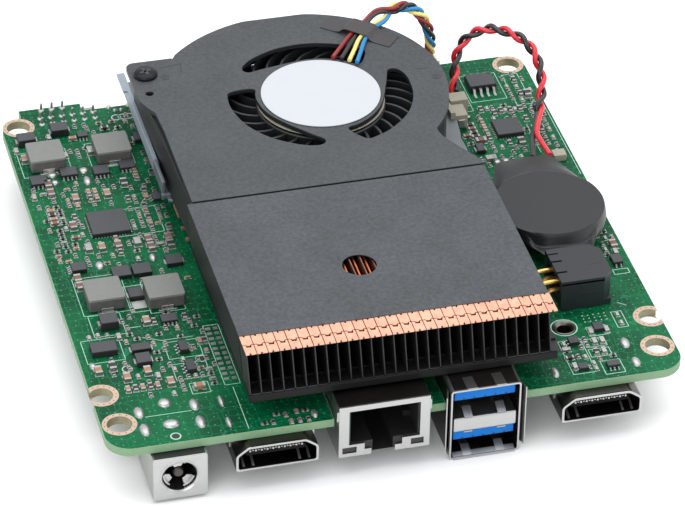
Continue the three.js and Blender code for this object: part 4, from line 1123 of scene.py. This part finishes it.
def make_tray():
    """The metal tray, the housing on it and the small pieces that show along its left edge."""
    x, y = HUB
    keep("blower_housing", "wall", 0.12)
    floor = ([(25.6, 47.8), (79.0, 47.8), (79.6, 57), (80.8, 66)] + arc(x, y, 26.0, -14, 92, 30)
             + [(38, 102.9), (23.9, 101.6), (23.9, 62.4), (25.6, 61.8)])
    # The floor of the tray takes the darkened grey, painted shade; the upright strip along the left and the
    # ledge on it take the lip grey.
    tray = Shape().plate([floor], 4.4, 5.0, 0.1)
    tray.box(23.3, 24.0, 70.5, 101.2, 4.6, 7.45, 1)
    tray.box(22.5, 24.0, 95.0, 101.2, 7.1, 7.5, 1)
    tray.done("blower_tray_sheet", "tray lip", bevel=0.1, slot="bare_tray", replaces=["blower_tray"])
    side = [(25.6, 47.8), (24.95, 47.8), (24.6, 60.0), (24.2, 72.0), (23.9, 82.0), (23.9, 92.0), (25.6, 92.0)]
    Shape().prism(side, 5.05, 13.45).done("blower_side_wall", "wall", bevel=0.1)
    clip = Shape().box(23.1, 23.8, 64.0, 71.5, 5.0, 7.9).box(23.0, 25.2, 63.5, 64.4, 4.4, 5.4)
    clip.done("tray_clip", "clip", bevel=0.2)
    edge = Shape()
    for y0, y1, out in ((50.2, 51.0, -0.1), (53.8, 54.4, 0.0), (57.5, 61.6, -0.2)):
        edge.box(24.35 - out, 25.4, y0, y1, 4.1, 4.6)
    edge.done("copper_plate_edge", "brown", bevel=0.08)
    rim_strip = Shape().prism(arc(x, y, 26.0, 0, 20, 10) + arc(x, y, 25.0, 20, 0, 10), 4.9, 6.4)
    rim_strip.done("tray_rim", "cream", bevel=0.1)


def make_ear_screw():
    sx, sy = EAR_SCREW
    head = Shape()
    head.lathe([(0, 14.55), (2.2, 14.55), (2.25, 14.75), (2.15, 15.1), (1.85, 15.35), (0, 15.42)], sx, sy, 40)
    head.lathe([(0, 8.5), (1.0, 8.5), (1.0, 14.7), (0, 14.7)], sx, sy, 16)
    # The cross is a flat grey inlay, lighter than the head: a painted highlight for the lit edges of sunk
    # slots.
    for turn in (20, 110):
        slot = turned([(sx - 1.25, sy), (sx - 0.9, sy - 0.26), (sx + 0.9, sy - 0.26), (sx + 1.25, sy),
                       (sx + 0.9, sy + 0.26), (sx - 0.9, sy + 0.26)], turn, sx, sy)
        head.prism(slot, 15.3, 15.44, 1)
    head.done("ear_screw_head", "screw lid", slot="black_screw", replaces=["ear_screw"], sharp=40)


def make_tape():
    """A strip that follows the wires under it, laid across the cover at a slant."""
    strip = Shape()
    low, high, thick = 14.56, 15.62, 0.13
    section = [(-7.2, low), (-4.4, low), (-3.2, low + 0.3), (-2.3, high), (-0.9, high + 0.06),
               (0.7, high - 0.02),
               (2.2, high), (3.1, low + 0.35), (4.2, low), (7.2, low)]
    bottom = smooth_pairs(section, 4)
    top = [(u, z + thick) for u, z in bottom]
    strip.prism(bottom + top[::-1], -2.1, 2.1, axis="y")
    x, y = 67.6, 94.2
    strip.verts = [(*turned([(x + u, y + v)], -41, x, y)[0], z) for u, v, z in strip.verts]
    strip.done("cable_tape_strip", "tape", slot="tape", replaces=["cable_tape"], sharp=60)


make_blower_cover()
make_motor()
make_impeller()
make_tray()
make_ear_screw()
make_tape()


# ------------------------------------------------------------------ edge sockets
def make_jack():
    x0, x1, z0, z1 = 7.0, 16.4, -10.46, -1.72
    cx, cz = 11.6, -5.95
    shell = Shape()
    shell.plate([rounded(x0, x1, z0, z1, 0.35, 4), circle(cx, cz, 3.25, 56)], -1.9, -1.5, 0.1, axis="y")
    shell.box(x0, x0 + 0.4, -1.6, 10, z0 + 0.1, z1 - 0.1)
    shell.box(x1 - 0.4, x1, -1.6, 10, z0 + 0.1, z1 - 0.1)
    shell.lathe([(3.22, -1.95), (3.5, -1.95), (3.5, -1.6), (3.05, -1.6), (3.05, 1.5), (2.95, 1.5),
                 (2.95, -1.7)],
                cx, cz, 56, axis="y")
    shell.done("dc_jack_shell_sheet", "steel", bevel=0.06, slot="plated_steel", replaces=["dc_jack_shell"])
    inner = Shape().plate([rect(x0 + 0.5, x1 - 0.5, z0 + 0.2, z1 - 0.45), circle(cx, cz, 2.95, 40)], -1.45,
                          8.4, 0, axis="y")
    inner.box(x0 + 0.5, x1 - 0.5, 8.4, 10, z0 + 0.2, z1 - 0.4)
    inner.box(x0 + 0.35, x1 - 0.35, -1.45, 9.8, z1 - 0.5, z1)
    inner.done("dc_jack_insert_moulding", "plastic", slot="black_plastic", replaces=["dc_jack_insert"])
    # The centre pin takes the darker steel: painted shade deep in the bore.
    Shape().lathe([(0, -0.75), (0.75, -0.75), (1.0, -0.45), (1.0, 8.3), (0, 8.3)], cx, cz, 28, axis="y").done(
        "dc_jack_centre_pin", "port_top", slot="plated_steel", replaces=["dc_jack_pin"])
    spring = Shape()
    for start, end, front in ((64, 128, -1.3), (176, 232, -1.1), (284, 344, -1.2)):
        leaf = arc(cx, cz, 2.85, start, end, 8) + arc(cx, cz, 2.45, end, start, 8)
        spring.prism(leaf, front, 6.5, axis="y")
        near = arc(cx, cz, 2.75, start + 3, end - 3, 6) + arc(cx, cz, 1.45, end - 10, start + 10, 6)
        spring.prism(near, front + 0.5, front + 0.9, axis="y")
    spring.done("dc_jack_springs", "steel", bevel=0.1)


def hdmi_outline(half, crown, low, shoulder, high, r):
    """Shell profile, widest at the bottom, with every corner rounded."""
    corners = [(-half, low), (half, low), (half, shoulder), (crown, high), (-crown, high), (-half, shoulder)]
    out = []
    for i, (x, z) in enumerate(corners):
        before, after = Vector(corners[i - 1]), Vector(corners[(i + 1) % 6])
        here = Vector((x, z))
        a, b = (before - here).normalized(), (after - here).normalized()
        p, q = here + a * r, here + b * r
        out += [tuple((1 - t) ** 2 * p + 2 * t * (1 - t) * here + t * t * q) for t in (0, 0.25, 0.5, 0.75, 1)]
    return out


def make_hdmi(side, centre):
    def shifted(points):
        return [(x + centre, z) for x, z in points]

    outer = shifted(hdmi_outline(7.2, 5.05, -6.65, -3.35, -1.72, 0.55))
    inner = shifted(hdmi_outline(6.74, 4.86, -6.2, -3.55, -2.16, 0.4))

    def long_walls_painted_shade(face, verts):
        """The walls that run back from the opening are darker than its rim: painted shade, under the board
        and inside the port.
        """
        return 1 if extent_of(face, verts, 1) > 1 else 0

    shell = Shape().plate([outer, inner], -2.1, 8.6, 0.1, long_walls_painted_shade, axis="y")
    # The tabs on top and the strip along the top take the same painted shade, for the shade under the board.
    for s in (-1, 1):
        shell.box(centre + s * 4.2 - 0.55, centre + s * 4.2 + 0.55, -1.9, 1.6, -1.8, -1.62, 1)
        shell.box(centre + s * 7.2 - 0.22, centre + s * 7.2 + 0.22, 2.2, 3.6, -4.4, -0.2)
    shell.prism(shifted([(-4.7, -1.8), (4.7, -1.8), (4.7, -1.66), (-4.7, -1.66)]), -1.75, 8.4, 1, axis="y")
    shell.done(f"hdmi_{side}_shell_sheet", "steel port_top", slot="plated_steel",
               replaces=[f"hdmi_{side}_shell"])
    body = Shape()
    body.prism(shifted(hdmi_outline(6.7, 4.8, -6.15, -3.6, -2.22, 0.35)), 5.4, 8.4, axis="y")
    body.box(centre - 5.2, centre + 5.2, -0.9, 5.6, -4.4, -3.4)
    body.done(f"hdmi_{side}_tongue_moulding", "port_black", bevel=0.12, slot="black_plastic",
              replaces=[f"hdmi_{side}_tongue"])
    metal = Shape()
    for k, x in enumerate(spaced(centre - 4.5, 0.5, 19)):
        metal.box(x - 0.15, x + 0.15, -1.0, 5.4, -3.42 if k % 2 else -3.6, -3.26)
    for s in (-1, 1):
        for x in (4.05, 5.7):
            metal.prism([(-1.7, -6.3), (0.6, -5.3), (4.6, -5.6), (4.6, -5.75), (0.6, -5.5), (-1.6, -6.42)],
                        centre + s * x - 0.2, centre + s * x + 0.2, axis="x")
        metal.prism([(-1.9, -2.1), (0.2, -2.7), (2.6, -2.2), (2.6, -2.08), (0.2, -2.55), (-1.8, -2.0)],
                    centre + s * 3.4 - 0.4, centre + s * 3.4 + 0.4, axis="x")
    metal.done(f"hdmi_{side}_contacts", "tin")


def make_ethernet():
    x0, x1, z0, z1 = 39.07, 55.06, -7.1, 3.55
    face = [(x0, z0), (44.85, z0), (44.85, -5.9), (43.65, -5.9), (43.65, -4.6), (40.9, -4.6), (40.9, 2.5),
            (53.3, 2.5), (53.3, -4.6), (50.2, -4.6), (50.2, -5.9), (48.95, -5.9), (48.95, z0), (x1, z0),
            (x1, z1), (x0, z1)]
    lights = [rect(39.75, 42.2, -6.35, -5.1), rect(51.8, 54.0, -6.35, -5.1)]
    shell = Shape().plate([face] + lights, -1.93, -1.58, 0.06, axis="y")
    shell.box(x0, x0 + 0.35, -1.6, 14, z0 + 0.05, z1 - 0.05)
    shell.box(x1 - 0.35, x1, -1.6, 14, z0 + 0.05, z1 - 0.05)
    # The top takes the darker steel: painted shadow of the heat sink base that overhangs it.
    shell.box(x0 + 0.05, x1 - 0.05, -1.6, 14, z1 - 0.35, z1, 1)
    shell.box(x0 + 0.35, x1 - 0.35, 13.6, 14, z0, z1 - 0.3)
    shell.box(x1 - 0.05, x1 + 0.3, -1.7, 0.4, 0.6, 2.6)
    shell.box(x0 - 0.3, x0 + 0.05, -1.7, 0.4, 0.6, 2.6)
    shell.done("ethernet_shield_sheet", "steel port_top", bevel=0.05, slot="plated_steel",
               replaces=["ethernet_shield"])
    body = Shape()
    room = [(41.2, 2.25), (41.2, -4.4), (45.1, -4.4), (45.1, -6.7), (48.7, -6.7), (48.7, -4.4),
            (53.0, -4.4), (53.0, 2.25)]
    body.plate([rect(x0 + 0.45, x1 - 0.45, z0 + 0.42, z1 - 0.45), room], -1.5, 11.4, 0, axis="y")
    body.box(x0 + 0.45, x1 - 0.45, 11.4, 13.5, z0 + 0.42, z1 - 0.45)
    body.box(43.0, 51.2, 4.5, 11.5, 0.2, 2.25)
    body.box(41.2, 42.4, 3.5, 11.4, -4.4, -3.2)
    body.box(51.8, 53.0, 3.5, 11.4, -4.4, -3.2)
    body.done("ethernet_insert_moulding", "plastic", bevel=0.08, slot="black_plastic",
              replaces=["ethernet_insert"])
    comb = Shape().prism([(3.4, -0.4), (10.8, -3.0), (10.8, -3.4), (3.4, -0.9)], 43.1, 51.1, axis="x")
    comb.box(43.1, 51.1, 3.4, 4.2, -0.9, 0.3)
    comb.done("ethernet_comb", "chip", bevel=0.08)
    metal = Shape()
    for x in spaced(43.55, 1.02, 8):
        metal.prism([(3.2, 0.1), (10.8, -1.9), (10.8, -1.65), (3.2, 0.35)], x - 0.18, x + 0.18, axis="x")
    metal.done("ethernet_contacts", "gold")
    lamps = Shape()
    for x0, x1 in ((39.8, 42.15), (51.85, 53.95)):
        lamps.box(x0, x1, -1.7, 0.5, -6.3, -5.15)
    lamps.done("ethernet_lamps", "resistor", bevel=0.08)


USB_CONTACT_STEP = 2.33


def make_usb():
    x0, x1, z0, z1 = 58.64, 71.05, -11.0, 3.65
    shell = Shape()
    outer = rounded(x0, x1, z0, z1, 0.5, 4)
    inner = rounded(x0 + 0.33, x1 - 0.33, z0 + 0.33, z1 - 0.33, 0.3, 4)

    # Painted shade: the walls inside the opening take the darker steel.
    def inner_walls_painted_shade(face, verts):
        x, _, z = middle_of(face, verts)
        deep = extent_of(face, verts, 1) > 1
        return 1 if deep and x0 + 0.28 < x < x1 - 0.28 and z0 + 0.28 < z < z1 - 0.28 else 0

    shell.plate([outer, inner], -2.0, 14.6, 0.06, inner_walls_painted_shade, axis="y")
    shell.box(x0 + 0.2, x1 - 0.2, 14.4, 15.0, z0 + 0.2, z1 - 0.2)
    # The strip along the top, under the heat sink, and the thin strips on the sides also take the darker
    # steel: painted shade.
    shell.box(x0 + 0.6, x1 - 0.6, -1.7, 14.4, z1 - 0.03, z1 + 0.05, 1)
    for x in (x0, x1):
        shell.box(x - 0.04, x + 0.04, -1.5, 14.4, z0 + 0.7, z1 - 0.6, 1)
    for x, out in ((x0, -1), (x1, 1)):
        edge = [(x - out * 0.05, 1.0), (x + out * 0.25, -0.4), (x + out * 0.9, -2.28), (x + out * 0.72, -2.3),
                (x + out * 0.08, -0.5), (x - out * 0.2, 0.8)]
        shell.prism(edge, -9.6, 2.7)
    shell.prism([(-0.9, -10.3), (-2.28, -10.85), (-2.3, -10.98), (-0.9, -10.6)], x0 + 0.7, x1 - 0.7, axis="x")
    for c in (62.3, 67.4):
        shell.prism([(-1.9, 3.5), (-2.3, 3.95), (-2.2, 4.05), (1.5, 3.72), (1.5, 3.6)], c - 0.9, c + 0.9,
                    axis="x")
    shell.done("usb_stack_shell_sheet", "steel port_top", slot="plated_steel", replaces=["usb_stack_shell"])
    Shape().box(x0 + 0.6, x1 - 0.6, -1.85, 12.2, -5.35, -2.5).done(
        "usb_divider_sheet", "steel", bevel=0.3, segments=3, slot="plated_steel", replaces=["usb_divider"])
    for name, low, high in (("upper", 0.9, 2.85), ("lower", -7.5, -5.55)):
        tongue = Shape().box(59.45, 70.25, -1.1, 12.6, low, high)
        # The black strip along the underside of the blue tongue is painted shade.
        tongue.box(59.6, 70.1, -0.9, 12.5, low - 0.05, low + 0.3, 1)
        tongue.box(x0 + 0.55, x1 - 0.55, 11.0, 14.2, low - 2.8, min(high + 0.7, z1 - 0.5), 1)
        tongue.done(f"usb_{name}_tongue_moulding", "blue plastic", bevel=0.14, slot="blue_plastic",
                    replaces=[f"usb_{name}_tongue"])
        metal = Shape()
        for x in spaced(61.35, USB_CONTACT_STEP, 4):
            metal.box(x - 0.5, x + 0.5, -0.8, 8, low - 0.06, low + 0.04)
        for x in spaced(61.1, 1.87, 5):
            metal.box(x - 0.16, x + 0.16, -1.13, -0.8, low + 0.15, low + 0.42, 1)
        metal.done(f"usb_{name}_contacts", "tin resistor")
    springs = Shape()
    for base, way in ((-10.6, 1), (-2.35, 1), (3.25, -1), (-5.5, -1)):
        for c in (61.9, 67.8):
            tip = base + way * 0.95
            springs.prism([(-1.9, base), (0.2, tip), (3.4, base + way * 0.2), (3.4, base),
                           (0.2, tip - way * 0.16),
                           (-1.75, base - way * 0.12)], c - 0.75, c + 0.75, axis="x")
    springs.done("usb_springs", "steel")


def make_rear_usb():
    x0, x1, y0, y1, z1 = 5.7, 18.9, 88.2, 104.8, -1.7
    z0 = z1 - 5.9
    shell = Shape().plate([rounded(x0, x1, z0, z1, 0.45, 4),
                           rounded(x0 + 0.33, x1 - 0.33, z0 + 0.33, z1 - 0.33, 0.3, 4)],
                          y0 + 0.3, y1, 0.06, axis="y")
    shell.box(x0 + 0.2, x1 - 0.2, y0, y0 + 0.5, z0 + 0.2, z1 - 0.2)
    shell.done("rear_usb_shell_sheet", "steel", slot="plated_steel", replaces=["rear_usb_shell"])
    tongue = Shape().box(x0 + 1, x1 - 1, y0 + 2.4, y1 - 1, z1 - 2.7, z1 - 0.9)
    tongue.box(x0 + 0.5, x1 - 0.5, y0 + 0.6, y0 + 3, z0 + 0.5, z1 - 0.5)
    tongue.done("rear_usb_tongue_moulding", "blue", bevel=0.14, slot="blue_plastic",
                replaces=["rear_usb_tongue"])
    metal = Shape()
    for x in spaced(8.8, USB_CONTACT_STEP, 4):
        metal.box(x - 0.5, x + 0.5, y1 - 9, y1 - 1.4, z1 - 2.76, z1 - 2.66)
    metal.done("rear_usb_contacts", "tin")


make_jack()
make_hdmi("left", 28.4)
make_hdmi("right", 85.75)
make_ethernet()
make_usb()
make_rear_usb()


# ------------------------------------------------------------------ coin cell in its sleeve
CELL = (89.9, 44.6, 10.45)


def make_cell():
    """The sleeve is a height field: a drum over the cell, easing out to flat pinched ends."""
    x, y, r = CELL
    keep("coin_cell", "steel", 0.2)
    columns, rows = 72, 44
    top, bottom, seam = 6.05, 1.95, 3.7
    shape = Shape()
    tail_start, tail = 3.0, 16.4
    nose_start, nose = 6.2, 12.6
    drum_rings, drum_reach = 0.6, 0.955  # the shares of the rings and of the radius that stay flat

    def half_width(v):
        """Half width of the flat sleeve at v millimetres behind the cell's centre."""
        if v > tail_start:
            return 10.1 - 4.9 * (v - tail_start) / (tail - tail_start)
        if v < -nose_start:
            return 8.4 - 3.9 * ((-nose_start - v) / (nose - nose_start)) ** 0.8
        return 0.0

    outline = []
    for k in range(columns):
        a = 2 * math.pi * k / columns
        reach = r
        c, s = math.cos(a), math.sin(a)
        for step in range(60):
            d = r + (tail - r + 1.5) * step / 59
            px, py = d * c, d * s
            in_tail = tail_start < py <= tail + 0.07 * px
            in_nose = nose_start < -py <= nose
            if (in_tail or in_nose) and abs(px) <= half_width(py):
                reach = d
        outline.append((a, reach))
    rings = []
    for level in range(rows + 1):
        t = level / rows
        ring = []
        for a, reach in outline:
            over = reach - r
            if t <= drum_rings:
                d = r * drum_reach * t / drum_rings
                z = top + 0.05 * math.cos(3 * a + 1) * t
            else:
                q = (t - drum_rings) / (1 - drum_rings)
                d = r * drum_reach + (r * (1 - drum_reach) + over) * q
                spread = min(1, over / 1.2)
                loose = 0.1 + 0.5 * q if math.sin(a) > 0 else min(1, 3 * q) ** 0.8
                fall = q ** 1.6 * (1 - spread) + loose * spread
                z = top - (top - seam - 0.15) * min(1, fall)
                z += 0.16 * math.sin(7 * a + 2 * q) * math.sin(math.pi * q) * spread
            ring.append((x + d * math.cos(a), y + d * math.sin(a), z))
        rings.append(ring)
    verts = [p for ring in rings for p in ring]
    count = len(verts)
    lower = []
    for px, py, pz in verts:
        share = (pz - seam - 0.15) / (top - seam - 0.15)
        lower.append((px, py, seam - 0.1 - share * (seam - 0.1 - bottom)))
    faces = Shape.skin(rows + 1, columns)
    faces += [[count + j for j in reversed(quad)] for quad in faces]
    rim = rows * columns
    faces += [[rim + k, rim + (k + 1) % columns, count + rim + (k + 1) % columns, count + rim + k]
              for k in range(columns)]
    shape.add(verts + lower, faces)
    shape.done("battery_sleeve_wrap", "wrap", slot="shrink_wrap", replaces=["battery_sleeve"], sharp=50)


make_cell()


# ------------------------------------------------------------------ power header, plugs
def make_headers():
    x0, x1, y0, y1, z1 = 84.8, 94.5, 20.3, 30.4, 6.3
    body = Shape()
    c = 1.7
    roof = [(x0, y0), (x1 - c, y0), (x1, y0 + c), (x1, y1 - c), (x1 - c, y1), (x0, y1), (x0, y1 - 1.4),
            (x0 + 1.9, y1 - 1.4),
            (x0 + 1.9, y1 - 1.7), (x0, y1 - 1.7), (x0, y1 - 3.6), (x0 + 1.9, y1 - 3.6), (x0 + 1.9, y1 - 4.0),
            (x0, y1 - 4.0), (x0, y0 + 3.2), (x0 + 1.9, y0 + 3.2), (x0 + 1.9, y0 + 2.8), (x0, y0 + 2.8)]
    body.plate([roof], z1 - 1.0, z1, 0.12)
    body.plate([rect(x0 + 0.1, x1 - c, y0, y0 + 1.1)], 0.1, z1 - 0.5, 0.05)
    body.plate([rect(x0 + 0.1, x1 - c, y1 - 1.1, y1)], 0.1, z1 - 0.5, 0.05)
    block = [(x0 + 1.7, y0 + 0.08), (x1 - c, y0 + 0.08), (x1 - 0.08, y0 + c), (x1 - 0.08, y1 - c),
             (x1 - c, y1 - 0.08),
             (x0 + 1.7, y1 - 0.08)]
    body.prism(block, 0.1, z1 - 0.9)
    body.box(x0 + 0.3, x1 - 0.2, y0 + 0.4, y1 - 0.4, 0.1, 1.1)
    body.box(x0 + 1.6, x0 + 3.4, y0 + 0.6, y1 - 0.6, 0.6, z1 - 0.4)
    body.box(x0 + 1.8, x1 - 1.0, 22.1, 25.1, 1.7, 4.7)
    body.box(x0 + 1.8, x1 - 1.0, 25.6, 28.6, 1.7, 4.7)
    body.box(x0 + 3.2, x1 - 2.6, y0 - 0.02, y0 + 0.3, 3.1, 3.5, 1)
    body.box(x0 + 3.6, x0 + 4.9, y0 - 0.05, y0 + 0.3, 4.6, 5.3)
    body.box(x0 + 2.8, x0 + 3.8, y0 - 0.05, y0 + 0.3, 1.2, 2.0)
    body.prism([(x0 + 6.4, y0 + 3.9), (x0 + 8.6, y0 + 4.4), (x0 + 8.1, y0 + 5.4), (x0 + 7.2, y0 + 6.9),
                (x0 + 7.0, y0 + 5.6)],
               z1 - 0.02, z1 + 0.03, 1)
    body.done("power_header_housing", "power_black resistor", bevel=0.08, slot="black_plastic",
              replaces=["power_header"])
    pins = Shape()
    for y in (23.6, 27.1):
        for far, z in ((1.3, 2.4), (2.3, 4.2)):
            path = smooth([(x0 + 2.4, y, z), (x0 - far + 0.7, y, z), (x0 - far, y, z - 0.7),
                           (x0 - far, y, 0.0)], 4)
            pins.tube(path, 0.42, 8)
    pins.done("power_header_pins", "gold")
    keep("fan_plug", "white", 0.15)
    keep("battery_plug", "cream", 0.15)
    keep("fan_header", "cream", 0.15)
    socket = Shape().box(82.45, 84.9, 79.3, 83.2, 0.12, 3.1).box(82.5, 86.3, 79.6, 80.4, 0.02, 0.5, 1)
    socket.box(82.5, 86.3, 82.1, 82.9, 0.02, 0.5, 1)
    socket.box(83.0, 84.4, 79.0, 79.35, 0.6, 2.2, 1)
    socket.done("battery_header_moulding", "cream tin", bevel=0.15, slot="white_plastic",
                replaces=["battery_header"])


make_headers()


# ------------------------------------------------------------------ hidden pieces and the underside
def make_underside():
    keep("processor_package", "package", 0.05)
    keep("processor_die", "silicon", 0.04)
    keep("heat_sink_pedestal", "fin_deep", 0.15)
    for i in (1, 2, 3):
        keep(f"heat_sink_screw_{i}", "steel", 0.2)
    keep("memory_socket", "plastic", 0.2)
    keep("card_socket", "plastic", 0.15)
    for side in ("left", "right"):
        keep(f"memory_latch_{side}", "steel", 0.06)
    metal = Shape()
    for x in spaced(26.0, 64.0 / 59, 60):
        metal.box(x - 0.15, x + 0.15, 83.7, 86.0, -8.35, -8.2)
        metal.box(x - 0.15, x + 0.15, 92.5, 93.3, -1.95, -1.65)
    for x in spaced(59.3, 25.4 / 33, 34):
        metal.box(x - 0.12, x + 0.12, 59.3, 60.2, -1.9, -1.65)
    metal.done("underside_contacts", "gold")
    parts = Shape()
    random.seed(23)
    for _ in range(150):
        x, y = random.uniform(24, 92), random.uniform(19, 56)
        if any(math.hypot(x - sx, y - sy) < 3.6 for sx, sy in SCREW_HOLES):
            continue
        length, width, high = SIZES[random.choice("SSM")]
        a, b = (length / 2, width / 2) if random.random() < 0.5 else (width / 2, length / 2)
        parts.box(x - a, x + a, y - b, y + b, UNDER - high, UNDER, random.choice((0, 1, 2)))
    for x0, x1, y0, y1, high in ((34, 48, 22, 36, 1.0), (60, 70, 30, 38, 1.1), (20, 28, 40, 48, 1.0),
                                 (76, 84, 40, 50, 1.0)):
        parts.box(x0, x1, y0, y1, UNDER - high, UNDER, 3)
    parts.done("underside_parts", "resistor ceramic tin chip", bevel=0.06)


make_underside()


# ------------------------------------------------------------------ floor and light
FLOOR_HALF_SIZE = 3.0  # metres
WORLD_STRENGTH = 0.92
LIGHTS = [  # name, place, aim, size in metres, watts
    ("top_light", (30, 160, 620), (50, 50, 0), (0.9, 0.7), 3.4),
    ("front_light", (-260, -520, 300), (50, 30, 0), (0.6, 0.4), 1.5),
    ("side_light", (520, -120, 330), (50, 50, 0), (0.5, 0.4), 0.6),
]


def make_light(name, place, aim, size, energy):
    data = bpy.data.lights.new(name, "AREA")
    data.shape = "RECTANGLE"
    data.size, data.size_y = size
    data.energy = energy
    lamp = bpy.data.objects.new(name, data)
    bpy.context.collection.objects.link(lamp)
    spot, target = at(*place), at(*aim)
    turn = (target - spot).to_track_quat("-Z", "Y").to_matrix().to_4x4()
    lamp.matrix_world = Matrix.Translation(spot) @ turn


def make_stage():
    mesh = bpy.data.meshes.new("floor")
    size = FLOOR_HALF_SIZE
    z = at(0, 0, FLOOR)[2] - 0.00005
    mesh.from_pydata([(-size, -size, z), (size, -size, z), (size, size, z), (-size, size, z)], [],
                     [(0, 1, 2, 3)])
    floor = bpy.data.objects.new("floor", mesh)
    bpy.context.collection.objects.link(floor)
    n = Nodes("floor")
    n.link(n.ramp(n.noise(8, 2), [(0.3, (0.95, 0.95, 0.95)), (0.7, (0.97, 0.97, 0.97))]),
           n.shader.inputs["Base Color"])
    n.shader.inputs["Roughness"].default_value = 0.6
    n.shader.inputs["Specular IOR Level"].default_value = 0.2
    floor.data.materials.append(n.material)
    world = bpy.data.worlds.new("studio")
    world.use_nodes = True
    world.node_tree.nodes["Background"].inputs["Color"].default_value = (0.97, 0.985, 1.0, 1)
    world.node_tree.nodes["Background"].inputs["Strength"].default_value = WORLD_STRENGTH
    bpy.context.scene.world = world
    for light in LIGHTS:
        make_light(*light)
    view = bpy.context.scene.view_settings
    view.view_transform = "Standard"
    view.look = "None"
    view.exposure = 0.0


make_stage()
